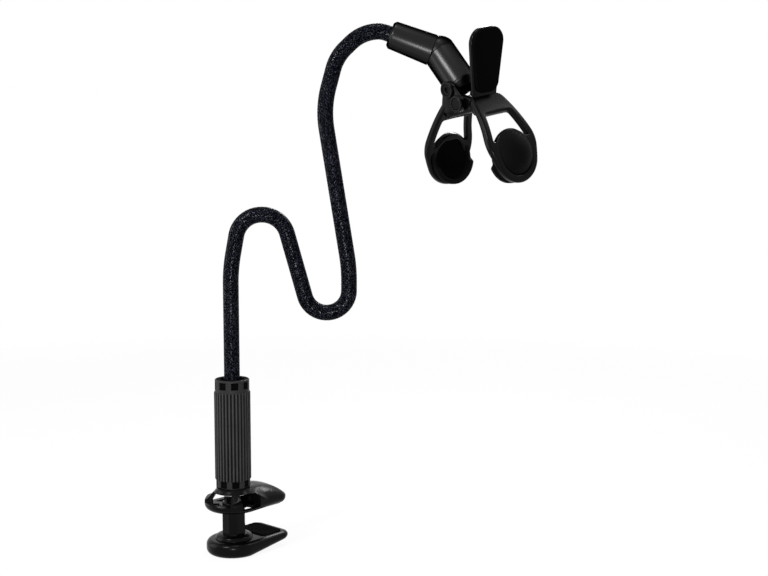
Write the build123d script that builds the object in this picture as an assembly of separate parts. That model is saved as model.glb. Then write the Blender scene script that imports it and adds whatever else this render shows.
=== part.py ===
"""Clamp-on phone holder: table clamp, bent gooseneck, ball joint and spring clip.

Millimetres. Z is up, X runs along the clamp jaws towards their tips, and the origin is
the centre of the lower jaw's gripping face.
"""
import os
from math import cos, radians, sin, sqrt

from build123d import *

os.makedirs("parts", exist_ok=True)

# Fits
RUNNING = 0.05
SEATED = 0.02
SLIDING = 0.10
CLEAR = 0.30
LEG_ROOM = 0.72
BOSS_ROOM = 0.4

# Clamp
POST_X = -32.0
POST_SIZE = 19.5
POST_CHAMFER = 5.0
POST_TOP = 33.4
POST_SINK = 7.0
FOOT_HEEL = 25.4
FOOT_REACH = 51.5
FOOT_HALF_WIDTH = 24.0
FOOT_CORNER = 10.0
FOOT_BOTTOM = -14.5
FOOT_TIP_RISE = 6.5
FOOT_RISE_FROM = 2.0
FOOT_TOP = -1.0
BOSS_FOOT_RADIUS = 17.4
BOSS_TOP_RADIUS = 12.6
BOSS_TOP = 3.4
PAD_LENGTH = 25.0
PAD_WIDTH = 37.0
PAD_CORNER = 5.0
PAD_THICK = 2.5
PAD_PROUD = 1.0
GAP = 26.0
CLOSE_TRAVEL = 25.0
OPEN_TRAVEL = 0.0
JAW_HEEL = 26.6
JAW_REACH = 49.0
JAW_BOTTOM = GAP + PAD_PROUD
JAW_PLATE = 6.6
JAW_CROWN = 46.4
JAW_DOME = 80.0
JAW_DOME_X = 18.0
JAW_EDGE_ROUND = 5.5
JAW_ROUND = 5.6
COLLAR_TOP = 47.3
COLLAR_BOTTOM = 43.0
COLLAR_RADIUS = 15.7
CAGE_WALL = 5.6
STRUT_AT = 55.0
STRUT_HALF = 12.0
SIDE_WINDOW_END = 68.0
SIDE_RIM = 3.4
WEB_THICK = 2.6
GUIDE_WALL = 2.4

# Handle and lead screw
WASHER_THICK = 1.0
HANDLE_BOTTOM = COLLAR_TOP + WASHER_THICK
GRIP_BOTTOM = 55.1
GRIP_TOP = 136.7
HANDLE_TOP = 148.3
GRIP_RADIUS = 16.6
GRIP_BORE = 12.9
RIBS = 32
RIB_GROOVE = 1.3
RIB_DEPTH = 0.8
NOTCHES = 8
NOTCH_WIDTH = 5.4
NOTCH_HEIGHT = 6.4
NOTCH_DEPTH = 1.6
COLLAR_STEP = 0.8
COLLAR_SINK = 6.0
NECK_RECESS = 11.2
NECK_RECESS_DEPTH = 4.6
SPIGOT_RADIUS = 12.44
NUT_BOTTOM = POST_TOP + CLOSE_TRAVEL + 1.0
NUT_LENGTH = 16.0
SCREW_RADIUS = 6.0
SCREW_TOP = NUT_BOTTOM + NUT_LENGTH + OPEN_TRAVEL + 10.0
CRIMP_BOTTOM = NUT_BOTTOM + NUT_LENGTH + OPEN_TRAVEL + 0.6
CRIMP_TOP = 146.0

# Gooseneck, drawn in the upright plane that holds its bends
NECK_YAW = -48.0
NECK_RADIUS = 7.25
CORE_RADIUS = 4.4
NECK_BENDS = [
    (0.0, 249.0, 150.0),
    (9.0, 298.4, 23.3),
    (46.9, 298.4, 23.3),
    (71.5, 209.2, 20.3),
    (107.4, 209.2, 20.3),
    (107.6, 250.0, 150.0),
    (84.8, 394.0, 90.0),
    (97.0, 439.0, 40.0),
    (119.0, 460.0, 36.0),
    (137.2, 461.7, 22.0),
]

# Ball joint
FERRULE_AT = (144.7, 458.9)
FERRULE_DROOP = 20.4
FERRULE_LENGTH = 40.4
FERRULE_START_RADIUS = 12.6
FERRULE_END_RADIUS = 14.1
FERRULE_BORE_DEPTH = 20.0
BALL_REACH = 47.4
BALL_RADIUS = 12.0
STUD_RADIUS = 3.5
DISH_RADIUS = 15.8
TUBE_RADIUS = 15.0
DOME_SPHERE = 15.3
DOME_SHELL = 2.85
MOUTH_ANGLE = 32.0
NOTCH_END = -5.4
LIP_END = -2.5
RING_END = 2.0
SEAT_RADIUS = 13.2
SEAT_END = 10.4
TUBE_LENGTH = 43.0
TUBE_END_CHAMFER = 5.0
CROSS_FROM_END = 3.3

# Clip
PIVOT_TURN = 38.71
PIVOT_RISE = 10.72
CLIP_LEAN = 1.5
TUBE_LEAN = 36.5
PIN_RADIUS = 3.0
BARREL_RADIUS = 7.5
BARREL_END = 20.5
EAR_INNER = 15.3
EAR_OUTER = 18.2
LUG_INNER = 8.8
LUG_OUTER = 14.9
LUG_RADIUS = 7.0
ARM_START = (15.0, 2.0)
ARM_MIDDLE = (38.0, -32.0)
ARM_END = (45.5, -80.0)
ARM_THICK = 6.4
ARM_TOP_HALF = 18.5
ARM_SHOULDER = (-38.0, 27.5)
LEG_WIDTH = 6.6
ARM_BAR = -13.0
CUP_X = 46.5
CUP_Z = -49.5
CUP_RADIUS = 24.0
CUP_SPHERE = 24.5
CUP_CROWN = 8.0
CUP_WALL = 3.0
CUP_RIM = -8.0
CUP_DISC = 21.0
PADDLE_AT = (14.6, 0.0)
PADDLE_HALF = 18.0
PADDLE_FOOT_HALF = 13.6
PADDLE_CORNER = 13.0
PADDLE_LEAN = 13.8
PADDLE_TOP = 63.0
PADDLE_THICK = 4.6
PADDLE_PAD = 3.0
SPRING_RADIUS = 4.3
SPRING_WIRE = 0.9
SPRING_PITCH = 2.4
SPRING_TURNS = 6
SPRING_LEG_FIXED = 15.0
SPRING_LEG_MOVING = 12.4


def hull(*discs):
    """Outline wrapped round discs given as (x, y, radius)."""
    edges = []
    for x, y, radius in discs:
        edges += (Pos(x, y) * Circle(radius)).edges()
    return make_hull(edges)


def turned(*points):
    """Solid turned about Z from a closed (radius, height) profile."""
    return revolve(Plane.XZ * make_face(Polyline(*points, close=True)), Axis.Z)


def tube(outer, inner, low, high):
    """Ring about Z between two heights."""
    return turned((inner, low), (outer, low), (outer, high), (inner, high))


def rod(radius, low, high):
    """Round bar about Z between two heights."""
    return Pos(0, 0, low) * extrude(Circle(radius), high - low)


def sector(start, end, low, high):
    """Wedge about Z between two bearings in degrees, 60 mm long."""
    reach = 60.0
    steps = [start + (end - start) * i / 4 for i in range(5)]
    rim = [(reach * cos(radians(a)), reach * sin(radians(a))) for a in steps]
    return Pos(0, 0, low) * extrude(make_face(Polyline((0, 0), *rim, close=True)), high - low)


def post_outline(grow):
    """Square with cut corners, grown evenly by a clearance."""
    side = POST_SIZE + 2 * grow
    square = Rectangle(side, side)
    return chamfer(square.vertices(), POST_CHAMFER)


# Clamp foot
at_post = Pos(POST_X, 0, 0)
foot_outline = hull(
    (0, 0, FOOT_HEEL),
    (FOOT_REACH - FOOT_CORNER, FOOT_HALF_WIDTH - FOOT_CORNER, FOOT_CORNER),
    (FOOT_REACH - FOOT_CORNER, FOOT_CORNER - FOOT_HALF_WIDTH, FOOT_CORNER),
)
foot_plate = Pos(0, 0, FOOT_BOTTOM) * extrude(foot_outline, FOOT_TOP - FOOT_BOTTOM)
tip_cut = Polyline(
    (FOOT_RISE_FROM, FOOT_BOTTOM),
    (FOOT_REACH, FOOT_BOTTOM + FOOT_TIP_RISE),
    (FOOT_REACH + 10, FOOT_BOTTOM + FOOT_TIP_RISE),
    (FOOT_REACH + 10, FOOT_BOTTOM - 10),
    (FOOT_RISE_FROM, FOOT_BOTTOM - 10),
    close=True,
)
foot_plate -= Plane.XZ * extrude(make_face(tip_cut), 60, both=True)
foot_plate = fillet(foot_plate.edges().group_by(Axis.Z)[-1], 3.2)
boss_arc = ThreePointArc(
    (BOSS_FOOT_RADIUS, FOOT_TOP),
    (BOSS_FOOT_RADIUS - 1.6, FOOT_TOP + 0.72 * (BOSS_TOP - FOOT_TOP)),
    (BOSS_TOP_RADIUS, BOSS_TOP),
)
boss_rest = Polyline(
    (BOSS_TOP_RADIUS, BOSS_TOP),
    (0, BOSS_TOP),
    (0, FOOT_TOP - 1),
    (BOSS_FOOT_RADIUS, FOOT_TOP - 1),
    (BOSS_FOOT_RADIUS, FOOT_TOP),
)
boss = revolve(Plane.XZ * make_face([boss_arc] + boss_rest.edges()), Axis.Z)
foot_plate = at_post * (foot_plate + boss)

pad_outline = RectangleRounded(PAD_LENGTH, PAD_WIDTH, PAD_CORNER)
pad_pocket = RectangleRounded(PAD_LENGTH + 2 * SEATED, PAD_WIDTH + 2 * SEATED, PAD_CORNER + SEATED)
foot_pad = Pos(0, 0, -PAD_THICK) * extrude(pad_outline, PAD_THICK)
foot_pad = fillet(foot_pad.edges().group_by(Axis.Z)[-1], 0.6)
foot_plate -= Pos(0, 0, -PAD_THICK) * extrude(pad_pocket, PAD_THICK)

post_bottom = FOOT_TOP - POST_SINK
screw_hole = 4.0
foot_plate -= at_post * Pos(0, 0, post_bottom) * extrude(post_outline(SEATED), 30)
foot_plate -= at_post * rod(screw_hole + CLEAR, FOOT_BOTTOM - 1, post_bottom + 1)
foot_plate -= at_post * turned(
    (0, FOOT_BOTTOM - 1),
    (8.2, FOOT_BOTTOM - 1),
    (8.2, FOOT_BOTTOM + 0.5),
    (4.2, FOOT_BOTTOM + 4.5),
    (0, FOOT_BOTTOM + 4.5),
)
post_screw = at_post * turned(
    (0, FOOT_BOTTOM + 0.6),
    (8.1 - SEATED, FOOT_BOTTOM + 0.6),
    (screw_hole, FOOT_BOTTOM + 4.7 - SEATED),
    (screw_hole, post_bottom + 14),
    (0, post_bottom + 14),
)
post_screw -= at_post * Pos(0, 0, FOOT_BOTTOM + 0.6) * extrude(RegularPolygon(2.9, 6), 2.6)

post = Pos(0, 0, post_bottom) * extrude(post_outline(0), POST_TOP - post_bottom)
post = chamfer(post.edges().group_by(Axis.Z)[-1], 0.8)
screw_sink = 12.0
post -= rod(SCREW_RADIUS + SEATED, POST_TOP - screw_sink, POST_TOP + 1)
post -= rod(screw_hole + SEATED, post_bottom - 1, post_bottom + 14.5)
post = at_post * post

# Sliding upper jaw
jaw_outline = hull(
    (0, 0, JAW_HEEL),
    (JAW_REACH - FOOT_CORNER, FOOT_HALF_WIDTH - FOOT_CORNER, FOOT_CORNER),
    (JAW_REACH - FOOT_CORNER, FOOT_CORNER - FOOT_HALF_WIDTH, FOOT_CORNER),
)
jaw_plate_top = JAW_BOTTOM + JAW_PLATE
plate = Pos(0, 0, JAW_BOTTOM) * extrude(jaw_outline, JAW_PLATE)
plate = fillet(plate.edges().group_by(Axis.Z)[0], JAW_ROUND)
dome = Pos(0, 0, jaw_plate_top - 0.5) * extrude(jaw_outline, JAW_CROWN - jaw_plate_top)
dome &= Pos(JAW_DOME_X, 0, JAW_CROWN - JAW_DOME) * Sphere(JAW_DOME)
dome = fillet(dome.faces().sort_by(Axis.Z)[-1].edges(), JAW_EDGE_ROUND)
cage = turned(
    (0, jaw_plate_top - 0.6),
    (JAW_HEEL, jaw_plate_top - 0.6),
    (JAW_HEEL, jaw_plate_top),
    (COLLAR_RADIUS, COLLAR_TOP - 1.6),
    (COLLAR_RADIUS, COLLAR_TOP),
    (0, COLLAR_TOP),
)
upper_jaw = plate + dome + cage
hollow_low = JAW_HEEL - CAGE_WALL
hollow_high = SPIGOT_RADIUS + 2.4
boss_recess = BOSS_TOP + CLOSE_TRAVEL + BOSS_ROOM
web_top = boss_recess + WEB_THICK
upper_jaw -= turned(
    (0, web_top),
    (hollow_low, web_top),
    (hollow_low, jaw_plate_top),
    (hollow_high, COLLAR_BOTTOM),
    (0, COLLAR_BOTTOM),
)
post_reach = sqrt((POST_SIZE / 2) ** 2 + (POST_SIZE / 2 - POST_CHAMFER) ** 2)
web_slot = tube(hollow_low, post_reach + GUIDE_WALL, JAW_BOTTOM - 1, jaw_plate_top)
strut_out = 180 - STRUT_AT
heel = (strut_out + STRUT_HALF, 360 - strut_out - STRUT_HALF)
upper_jaw -= sector(*heel, jaw_plate_top, COLLAR_BOTTOM)
upper_jaw -= web_slot & sector(*heel, JAW_BOTTOM - 2, jaw_plate_top + 1)
for side in (1, -1):
    flank = sorted((side * SIDE_WINDOW_END, side * (strut_out - STRUT_HALF)))
    upper_jaw -= sector(*flank, JAW_BOTTOM + SIDE_RIM, COLLAR_BOTTOM)
    upper_jaw -= web_slot & sector(*flank, JAW_BOTTOM - 2, jaw_plate_top + 1)
upper_jaw -= rod(SPIGOT_RADIUS + RUNNING, COLLAR_BOTTOM - 1, COLLAR_TOP + 1)
upper_jaw -= Pos(0, 0, JAW_BOTTOM - 1) * extrude(post_outline(SLIDING), JAW_PLATE + 2)
upper_jaw -= rod(BOSS_FOOT_RADIUS + 0.6, JAW_BOTTOM - 1, boss_recess)
upper_jaw = at_post * upper_jaw
upper_jaw -= Pos(0, 0, GAP) * extrude(pad_pocket, PAD_THICK)
upper_jaw_pad = Pos(0, 0, GAP) * extrude(pad_outline, PAD_THICK)
upper_jaw_pad = fillet(upper_jaw_pad.edges().group_by(Axis.Z)[0], 0.6)

thrust_washer = at_post * tube(COLLAR_RADIUS - 0.8, SPIGOT_RADIUS + CLEAR, COLLAR_TOP, HANDLE_BOTTOM)

# Handle
spigot_bottom = COLLAR_BOTTOM - 1.8
nut_body = GRIP_BORE - SEATED
handle_nut = turned(
    (post_reach + CLEAR, spigot_bottom),
    (SPIGOT_RADIUS, spigot_bottom),
    (SPIGOT_RADIUS, HANDLE_BOTTOM),
    (nut_body, HANDLE_BOTTOM),
    (nut_body, NUT_BOTTOM + NUT_LENGTH),
    (SCREW_RADIUS + RUNNING, NUT_BOTTOM + NUT_LENGTH),
    (SCREW_RADIUS + RUNNING, NUT_BOTTOM),
    (post_reach + CLEAR, NUT_BOTTOM),
)
handle_nut = at_post * handle_nut
handle_ring = at_post * tube(
    SPIGOT_RADIUS + 1.8, SPIGOT_RADIUS + SEATED, COLLAR_BOTTOM - 1.5, COLLAR_BOTTOM - 0.2
)
grip_outline = Circle(GRIP_RADIUS) - Circle(GRIP_BORE)
for spot in PolarLocations(GRIP_RADIUS, RIBS):
    grip_outline -= spot * Rectangle(2 * RIB_DEPTH, RIB_GROOVE)
handle_grip = at_post * Pos(0, 0, GRIP_BOTTOM) * extrude(grip_outline, GRIP_TOP - GRIP_BOTTOM)

handle_bottom_collar = tube(COLLAR_RADIUS, GRIP_BORE, HANDLE_BOTTOM, GRIP_BOTTOM)
for spot in PolarLocations(COLLAR_RADIUS, NOTCHES):
    notch = Box(2 * NOTCH_DEPTH, NOTCH_WIDTH, NOTCH_HEIGHT, align=(Align.CENTER, Align.CENTER, Align.MIN))
    handle_bottom_collar -= Pos(0, 0, HANDLE_BOTTOM + 1.5 * COLLAR_STEP) * (spot * notch)
handle_bottom_collar = at_post * handle_bottom_collar

neck_pass = NECK_RADIUS + 0.4
handle_top_collar = turned(
    (neck_pass, GRIP_TOP - COLLAR_SINK),
    (GRIP_BORE - SEATED, GRIP_TOP - COLLAR_SINK),
    (GRIP_BORE - SEATED, GRIP_TOP),
    (GRIP_RADIUS - COLLAR_STEP, GRIP_TOP),
    (GRIP_RADIUS - COLLAR_STEP, HANDLE_TOP - COLLAR_STEP),
    (GRIP_RADIUS - 2 * COLLAR_STEP, HANDLE_TOP),
    (NECK_RECESS, HANDLE_TOP),
    (NECK_RECESS, HANDLE_TOP - NECK_RECESS_DEPTH),
    (neck_pass, HANDLE_TOP - NECK_RECESS_DEPTH - COLLAR_STEP),
)
for spot in PolarLocations(GRIP_RADIUS - COLLAR_STEP, NOTCHES):
    notch = Box(2 * NOTCH_DEPTH, NOTCH_WIDTH, NOTCH_HEIGHT, align=(Align.CENTER, Align.CENTER, Align.MIN))
    handle_top_collar -= Pos(0, 0, HANDLE_TOP - 2.5 * COLLAR_STEP - NOTCH_HEIGHT) * (spot * notch)
handle_top_collar = at_post * handle_top_collar

# Lead screw and the neck's lower end
lead_screw = at_post * rod(SCREW_RADIUS, POST_TOP - screw_sink + 0.1, SCREW_TOP)
neck_crimp = at_post * turned(
    (SCREW_RADIUS + SEATED, CRIMP_BOTTOM),
    (NECK_RADIUS, CRIMP_BOTTOM),
    (NECK_RADIUS, CRIMP_TOP),
    (CORE_RADIUS + SEATED, CRIMP_TOP),
    (CORE_RADIUS + SEATED, SCREW_TOP + SEATED),
    (SCREW_RADIUS + SEATED, SCREW_TOP + SEATED),
)

# Gooseneck
right = Vector(cos(radians(NECK_YAW)), sin(radians(NECK_YAW)), 0)
up = Vector(0, 0, 1)
front = right.cross(up)


def neck_vector(r, u, c):
    """Direction in the neck's plane: right, up and out of the plane."""
    return right * r + up * u + front * c


neck_origin = Vector(POST_X, 0, 0)
ferrule_axis = neck_vector(cos(radians(FERRULE_DROOP)), -sin(radians(FERRULE_DROOP)), 0)
ferrule_start = neck_origin + neck_vector(FERRULE_AT[0], FERRULE_AT[1], 0)
neck_points = [neck_origin + neck_vector(r, u, 0) for r, u, bend in NECK_BENDS]
bend_radii = [bend for r, u, bend in NECK_BENDS]


def neck_bar(radius, bore, start, sink):
    """Round bar along the neck from a height above the clamp into the ferrule."""
    path = FilletPolyline(
        neck_origin + up * start,
        *neck_points,
        ferrule_start + ferrule_axis * sink,
        radius=bend_radii,
    )
    section = Circle(radius)
    if bore:
        section -= Circle(bore)
    return sweep(Plane(path @ 0, z_dir=path % 0) * section, path)


neck_core = neck_bar(CORE_RADIUS, 0, SCREW_TOP + 2 * SEATED, 14.5)
neck_sleeve = neck_bar(NECK_RADIUS, CORE_RADIUS + RUNNING, CRIMP_TOP + SEATED, 14.0)

# Ferrule and ball, turned about the ferrule's axis
ferrule_frame = Plane(ferrule_start, x_dir=front, z_dir=ferrule_axis).location
head_ferrule = turned(
    (NECK_RADIUS + SEATED, 0),
    (FERRULE_START_RADIUS - 2.3, 0),
    (FERRULE_START_RADIUS, 2.3),
    (FERRULE_END_RADIUS, FERRULE_LENGTH),
    (STUD_RADIUS + RUNNING, FERRULE_LENGTH),
    (STUD_RADIUS + RUNNING, FERRULE_BORE_DEPTH),
    (NECK_RADIUS + SEATED, FERRULE_BORE_DEPTH),
)
head_ferrule -= Pos(0, 0, BALL_REACH) * Sphere(DISH_RADIUS)
head_ferrule = ferrule_frame * head_ferrule
clip_at = FERRULE_BORE_DEPTH - 1.6
ball_stud = rod(STUD_RADIUS, clip_at - 1.2, BALL_REACH) + Pos(0, 0, BALL_REACH) * Sphere(BALL_RADIUS)
ball_stud = ferrule_frame * ball_stud
stud_clip = ferrule_frame * tube(STUD_RADIUS + 2.0, STUD_RADIUS + SEATED, clip_at, FERRULE_BORE_DEPTH - 0.1)

# Clip frame: X across the jaws, Y along the pivot, Z up between the handles
rise = radians(PIVOT_RISE)
turn = radians(PIVOT_TURN)
pivot_axis = neck_vector(cos(rise) * cos(turn), sin(rise), -cos(rise) * sin(turn))
level_up = (up - pivot_axis * up.dot(pivot_axis)).normalized()
level_across = pivot_axis.cross(level_up)
lean = radians(CLIP_LEAN)
clip_up = level_up * cos(lean) - level_across * sin(lean)
clip_across = pivot_axis.cross(clip_up)
tube_lean = radians(TUBE_LEAN)
tube_axis = clip_across * sin(tube_lean) - clip_up * cos(tube_lean)
ball_centre = ferrule_start + ferrule_axis * BALL_REACH
coil_half = SPRING_PITCH * SPRING_TURNS / 2
leg_corner = sqrt((TUBE_RADIUS - TUBE_END_CHAMFER) ** 2 - coil_half ** 2)
leg_rise = SPRING_RADIUS + SPRING_WIRE + LEG_ROOM + leg_corner * sin(tube_lean)
pivot_reach = TUBE_LENGTH + leg_rise / cos(tube_lean)
cross_reach = TUBE_LENGTH - CROSS_FROM_END
pivot_centre = ball_centre + tube_axis * pivot_reach
tube_frame = Plane(ball_centre, x_dir=pivot_axis, z_dir=tube_axis).location
clip_frame = Plane(pivot_centre, x_dir=clip_across, z_dir=clip_up).location

# Ball seat, its ring and the second tube
ball_clear = BALL_RADIUS + RUNNING
spigot = (SEAT_RADIUS + RUNNING + TUBE_RADIUS) / 2
ball_seat = rod(SEAT_RADIUS, LIP_END + RUNNING, SEAT_END) - Sphere(ball_clear)
ball_seat = ball_seat - rod(6.0, SEAT_END - 6, SEAT_END + 1)
ball_seat = tube_frame * ball_seat
shell = Sphere(DOME_SPHERE) & rod(TUBE_RADIUS, -20, RING_END)
shell -= Sphere(DOME_SPHERE - DOME_SHELL) & rod(TUBE_RADIUS, -20, LIP_END)
shell -= rod(spigot + RUNNING, LIP_END, RING_END + 1)
shell -= rod(DOME_SPHERE * sin(radians(MOUTH_ANGLE)), -20, LIP_END)
notch_half = STUD_RADIUS + 0.9
notch = Pos(10, 0, NOTCH_END - 10) * Box(20, 2 * notch_half, 20)
bend_axis = ferrule_axis.cross(tube_axis).normalized()
stud_side = bend_axis.cross(tube_axis)
notch_frame = Plane(ball_centre, x_dir=stud_side, z_dir=tube_axis).location
seat_ring = tube_frame * shell - notch_frame * notch
bore_end = max(SEAT_END + 2.0, BALL_RADIUS + 0.8)
socket_tube = turned(
    (SEAT_RADIUS + RUNNING, LIP_END + SEATED),
    (spigot, LIP_END + SEATED),
    (spigot, RING_END + SEATED),
    (TUBE_RADIUS, RING_END + SEATED),
    (TUBE_RADIUS, TUBE_LENGTH - TUBE_END_CHAMFER),
    (TUBE_RADIUS - TUBE_END_CHAMFER, TUBE_LENGTH),
    (0, TUBE_LENGTH),
    (0, bore_end),
    (SEAT_RADIUS + RUNNING, bore_end),
)
bolt_pass = 2 * TUBE_RADIUS
socket_tube -= Pos(0, 0, cross_reach) * Rot(0, 90, 0) * rod(PIN_RADIUS + SEATED, -bolt_pass, bolt_pass)
socket_tube = tube_frame * socket_tube
seat_spring = tube_frame * turned(
    (7.0, SEAT_END + 1.2),
    (12.6, SEAT_END + RUNNING),
    (12.9, SEAT_END + RUNNING + 0.8),
    (7.3, bore_end - SEATED),
)


def across(x, z, radius, start, end):
    """Round bar along the pivot direction in the clip's frame."""
    return Pos(x, 0, z) * Rot(-90, 0, 0) * rod(radius, start, end)


def side_plate(outline, start, end):
    """Flat plate across the pivot direction: sketch (across, up), from start to end."""
    return Plane((0, start, 0), x_dir=(1, 0, 0), z_dir=(0, -1, 0)).location * extrude(outline, start - end)


# Wishbone arm on the +X side: a bowed strip cut to the outline of two legs
strip = trace(ThreePointArc(ARM_START, ARM_MIDDLE, ARM_END), ARM_THICK)
strip = side_plate(strip, 40, -40)
arm_outline = hull(
    (6.0 - ARM_TOP_HALF, -3, 6.0),
    (ARM_TOP_HALF - 6.0, -3, 6.0),
    (0, ARM_SHOULDER[0], ARM_SHOULDER[1]),
    (0, CUP_Z, CUP_RADIUS),
)
arm_window = offset(arm_outline, -LEG_WIDTH) - Pos(0, ARM_BAR + 40) * Rectangle(80, 80)
arm_window = fillet(arm_window.vertices().group_by(Axis.Y)[-1], 4.0)
arm_window -= Pos(0, CUP_Z) * Circle(CUP_DISC)
arm_window -= Pos(0, CUP_Z - 40) * Rectangle(80, 80)
facing = Plane((0, 0, 0), x_dir=(0, 1, 0), z_dir=(1, 0, 0)).location
arm_frame = strip & facing * extrude(arm_outline - arm_window, 80)
bowl_centre = CUP_CROWN - CUP_SPHERE
at_cup = Pos(CUP_X, 0, CUP_Z) * facing
above_rim = rod(CUP_RADIUS + 5, CUP_RIM, CUP_CROWN + 5)
bowl = Pos(0, 0, bowl_centre) * Sphere(CUP_SPHERE) & above_rim
hollow = Pos(0, 0, bowl_centre) * Sphere(CUP_SPHERE - CUP_WALL)
rim_out = sqrt(CUP_SPHERE ** 2 - (CUP_RIM - bowl_centre) ** 2)
rim_in = sqrt((CUP_SPHERE - CUP_WALL) ** 2 - (CUP_RIM - bowl_centre) ** 2)
lip = turned(
    (rim_in, CUP_RIM),
    (rim_out + 1.2, CUP_RIM),
    (rim_out + 1.2, CUP_RIM - 3.0),
    (rim_out, CUP_RIM - 4.2),
    (rim_in + 0.9, CUP_RIM - 4.2),
    (rim_in, CUP_RIM - 3.4),
)
lip = lip & Pos(0, -35, CUP_RIM) * Box(80, 60, 20)
wishbone = arm_frame + at_cup * bowl + at_cup * lip
wishbone -= at_cup * hollow
lining_out = CUP_SPHERE - CUP_WALL - RUNNING
lining = Pos(0, 0, bowl_centre) * (Sphere(lining_out) - Sphere(lining_out - 2.4))
lining = lining & rod(CUP_RADIUS, CUP_RIM + 1.2, CUP_CROWN)
moving_jaw_pad = at_cup * lining
fixed_jaw_pad = mirror(moving_jaw_pad, Plane.YZ)

# Fixed jaw: mirrored wishbone, two ears and four barrels
cross_x = -sin(tube_lean) * (pivot_reach - cross_reach)
cross_z = cos(tube_lean) * (pivot_reach - cross_reach)
ear_radius = BARREL_RADIUS - 0.6
ear_outline = hull((cross_x, cross_z, ear_radius), (0, 0, ear_radius), (-15.0, -2.0, 6.0))
fixed_jaw = mirror(wishbone, Plane.YZ)
for side in (1, -1):
    fixed_jaw += side_plate(ear_outline, side * EAR_INNER, side * EAR_OUTER)
    low, high = sorted((side * EAR_INNER, side * BARREL_END))
    fixed_jaw += across(cross_x, cross_z, BARREL_RADIUS, low, high)
    fixed_jaw += across(0, 0, BARREL_RADIUS, low, high)
hub_outline = hull((-16.0, -2.0, 5.2), (-18.4, -8.0, 4.6))
fixed_jaw += side_plate(hub_outline, EAR_INNER + 1, -EAR_INNER - 1)
bolt_hole = PIN_RADIUS + SEATED
head_sink = 3.0
for x, z in ((cross_x, cross_z), (0, 0)):
    fixed_jaw -= across(x, z, bolt_hole, -40, 40)
    fixed_jaw -= across(x, z, 5.1, -BARREL_END - 1, head_sink - BARREL_END)
    fixed_jaw -= across(x, z, 5.1, BARREL_END - head_sink, BARREL_END + 1)
fixed_jaw = clip_frame * fixed_jaw
fixed_jaw_pad = clip_frame * fixed_jaw_pad

bolt_end = BARREL_END - 0.3
cross_bolt = across(0, 0, PIN_RADIUS, -BARREL_END + 1, bolt_end)
cross_bolt += across(0, 0, 5.0, SEATED - BARREL_END + 0.4, head_sink - BARREL_END - SEATED)
cross_bolt -= Pos(0, 0.4 - BARREL_END, 0) * Rot(-90, 0, 0) * extrude(RegularPolygon(2.4, 6), 1.8)
cross_bolt = clip_frame * Pos(cross_x, 0, cross_z) * cross_bolt
nut_start = BARREL_END - head_sink + SEATED
cross_nut = Pos(0, nut_start, 0) * Rot(-90, 0, 0) * extrude(RegularPolygon(5.0, 6), head_sink - 0.5)
cross_nut -= across(0, 0, PIN_RADIUS + SEATED, 0, 40)
cross_nut = clip_frame * Pos(cross_x, 0, cross_z) * cross_nut
pivot_pin = across(0, 0, PIN_RADIUS, -BARREL_END + 1, bolt_end)
pivot_pin += across(0, 0, 5.0, SEATED - BARREL_END + 0.4, head_sink - BARREL_END - SEATED)
pivot_pin = clip_frame * pivot_pin
pin_clip = across(0, 0, 4.8, nut_start, nut_start + 1.2) - across(0, 0, PIN_RADIUS + SEATED, 0, 40)
pin_clip = clip_frame * pin_clip

# Moving jaw: wishbone, hub, lugs and finger paddle
hub_outline = hull((16.0, -2.0, 5.2), (18.4, -8.0, 4.6))
lug_outline = hull((0, 0, LUG_RADIUS), (16.0, -2.0, 5.4))
moving_jaw = wishbone + side_plate(hub_outline, LUG_OUTER, -LUG_OUTER)
for side in (1, -1):
    moving_jaw += side_plate(lug_outline, side * LUG_INNER, side * LUG_OUTER)
paddle_lean = radians(PADDLE_LEAN)
paddle_plane = Plane(
    (PADDLE_AT[0], 0, PADDLE_AT[1]), x_dir=(0, 1, 0), z_dir=(cos(paddle_lean), 0, -sin(paddle_lean))
).location


def paddle_face(low, foot_corner):
    """Paddle outline from a lower height, with corners there, to its rounded tip."""
    wide = PADDLE_HALF - PADDLE_CORNER
    narrow = PADDLE_FOOT_HALF - foot_corner
    high = PADDLE_TOP - PADDLE_CORNER
    return hull(
        (-narrow, low + foot_corner, foot_corner),
        (narrow, low + foot_corner, foot_corner),
        (-wide, high, PADDLE_CORNER),
        (wide, high, PADDLE_CORNER),
    )


paddle_outline = paddle_face(-2.5, 4.5)
paddle = Pos(0, 0, -PADDLE_THICK / 2) * extrude(paddle_outline, PADDLE_THICK)
paddle = fillet(paddle.faces().sort_by(Axis.Z)[0].edges(), 1.6)
moving_jaw += paddle_plane * paddle
moving_jaw -= across(0, 0, PIN_RADIUS + RUNNING, -40, 40)
moving_jaw = clip_frame * moving_jaw
moving_jaw_pad = clip_frame * moving_jaw_pad
paddle_pad = Pos(0, 0, PADDLE_THICK / 2) * extrude(paddle_face(7.0, 9.0), PADDLE_PAD)
paddle_pad = fillet(paddle_pad.faces().sort_by(Axis.Z)[-1].edges(), 1.8)
paddle_pad = clip_frame * paddle_plane * paddle_pad

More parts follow.
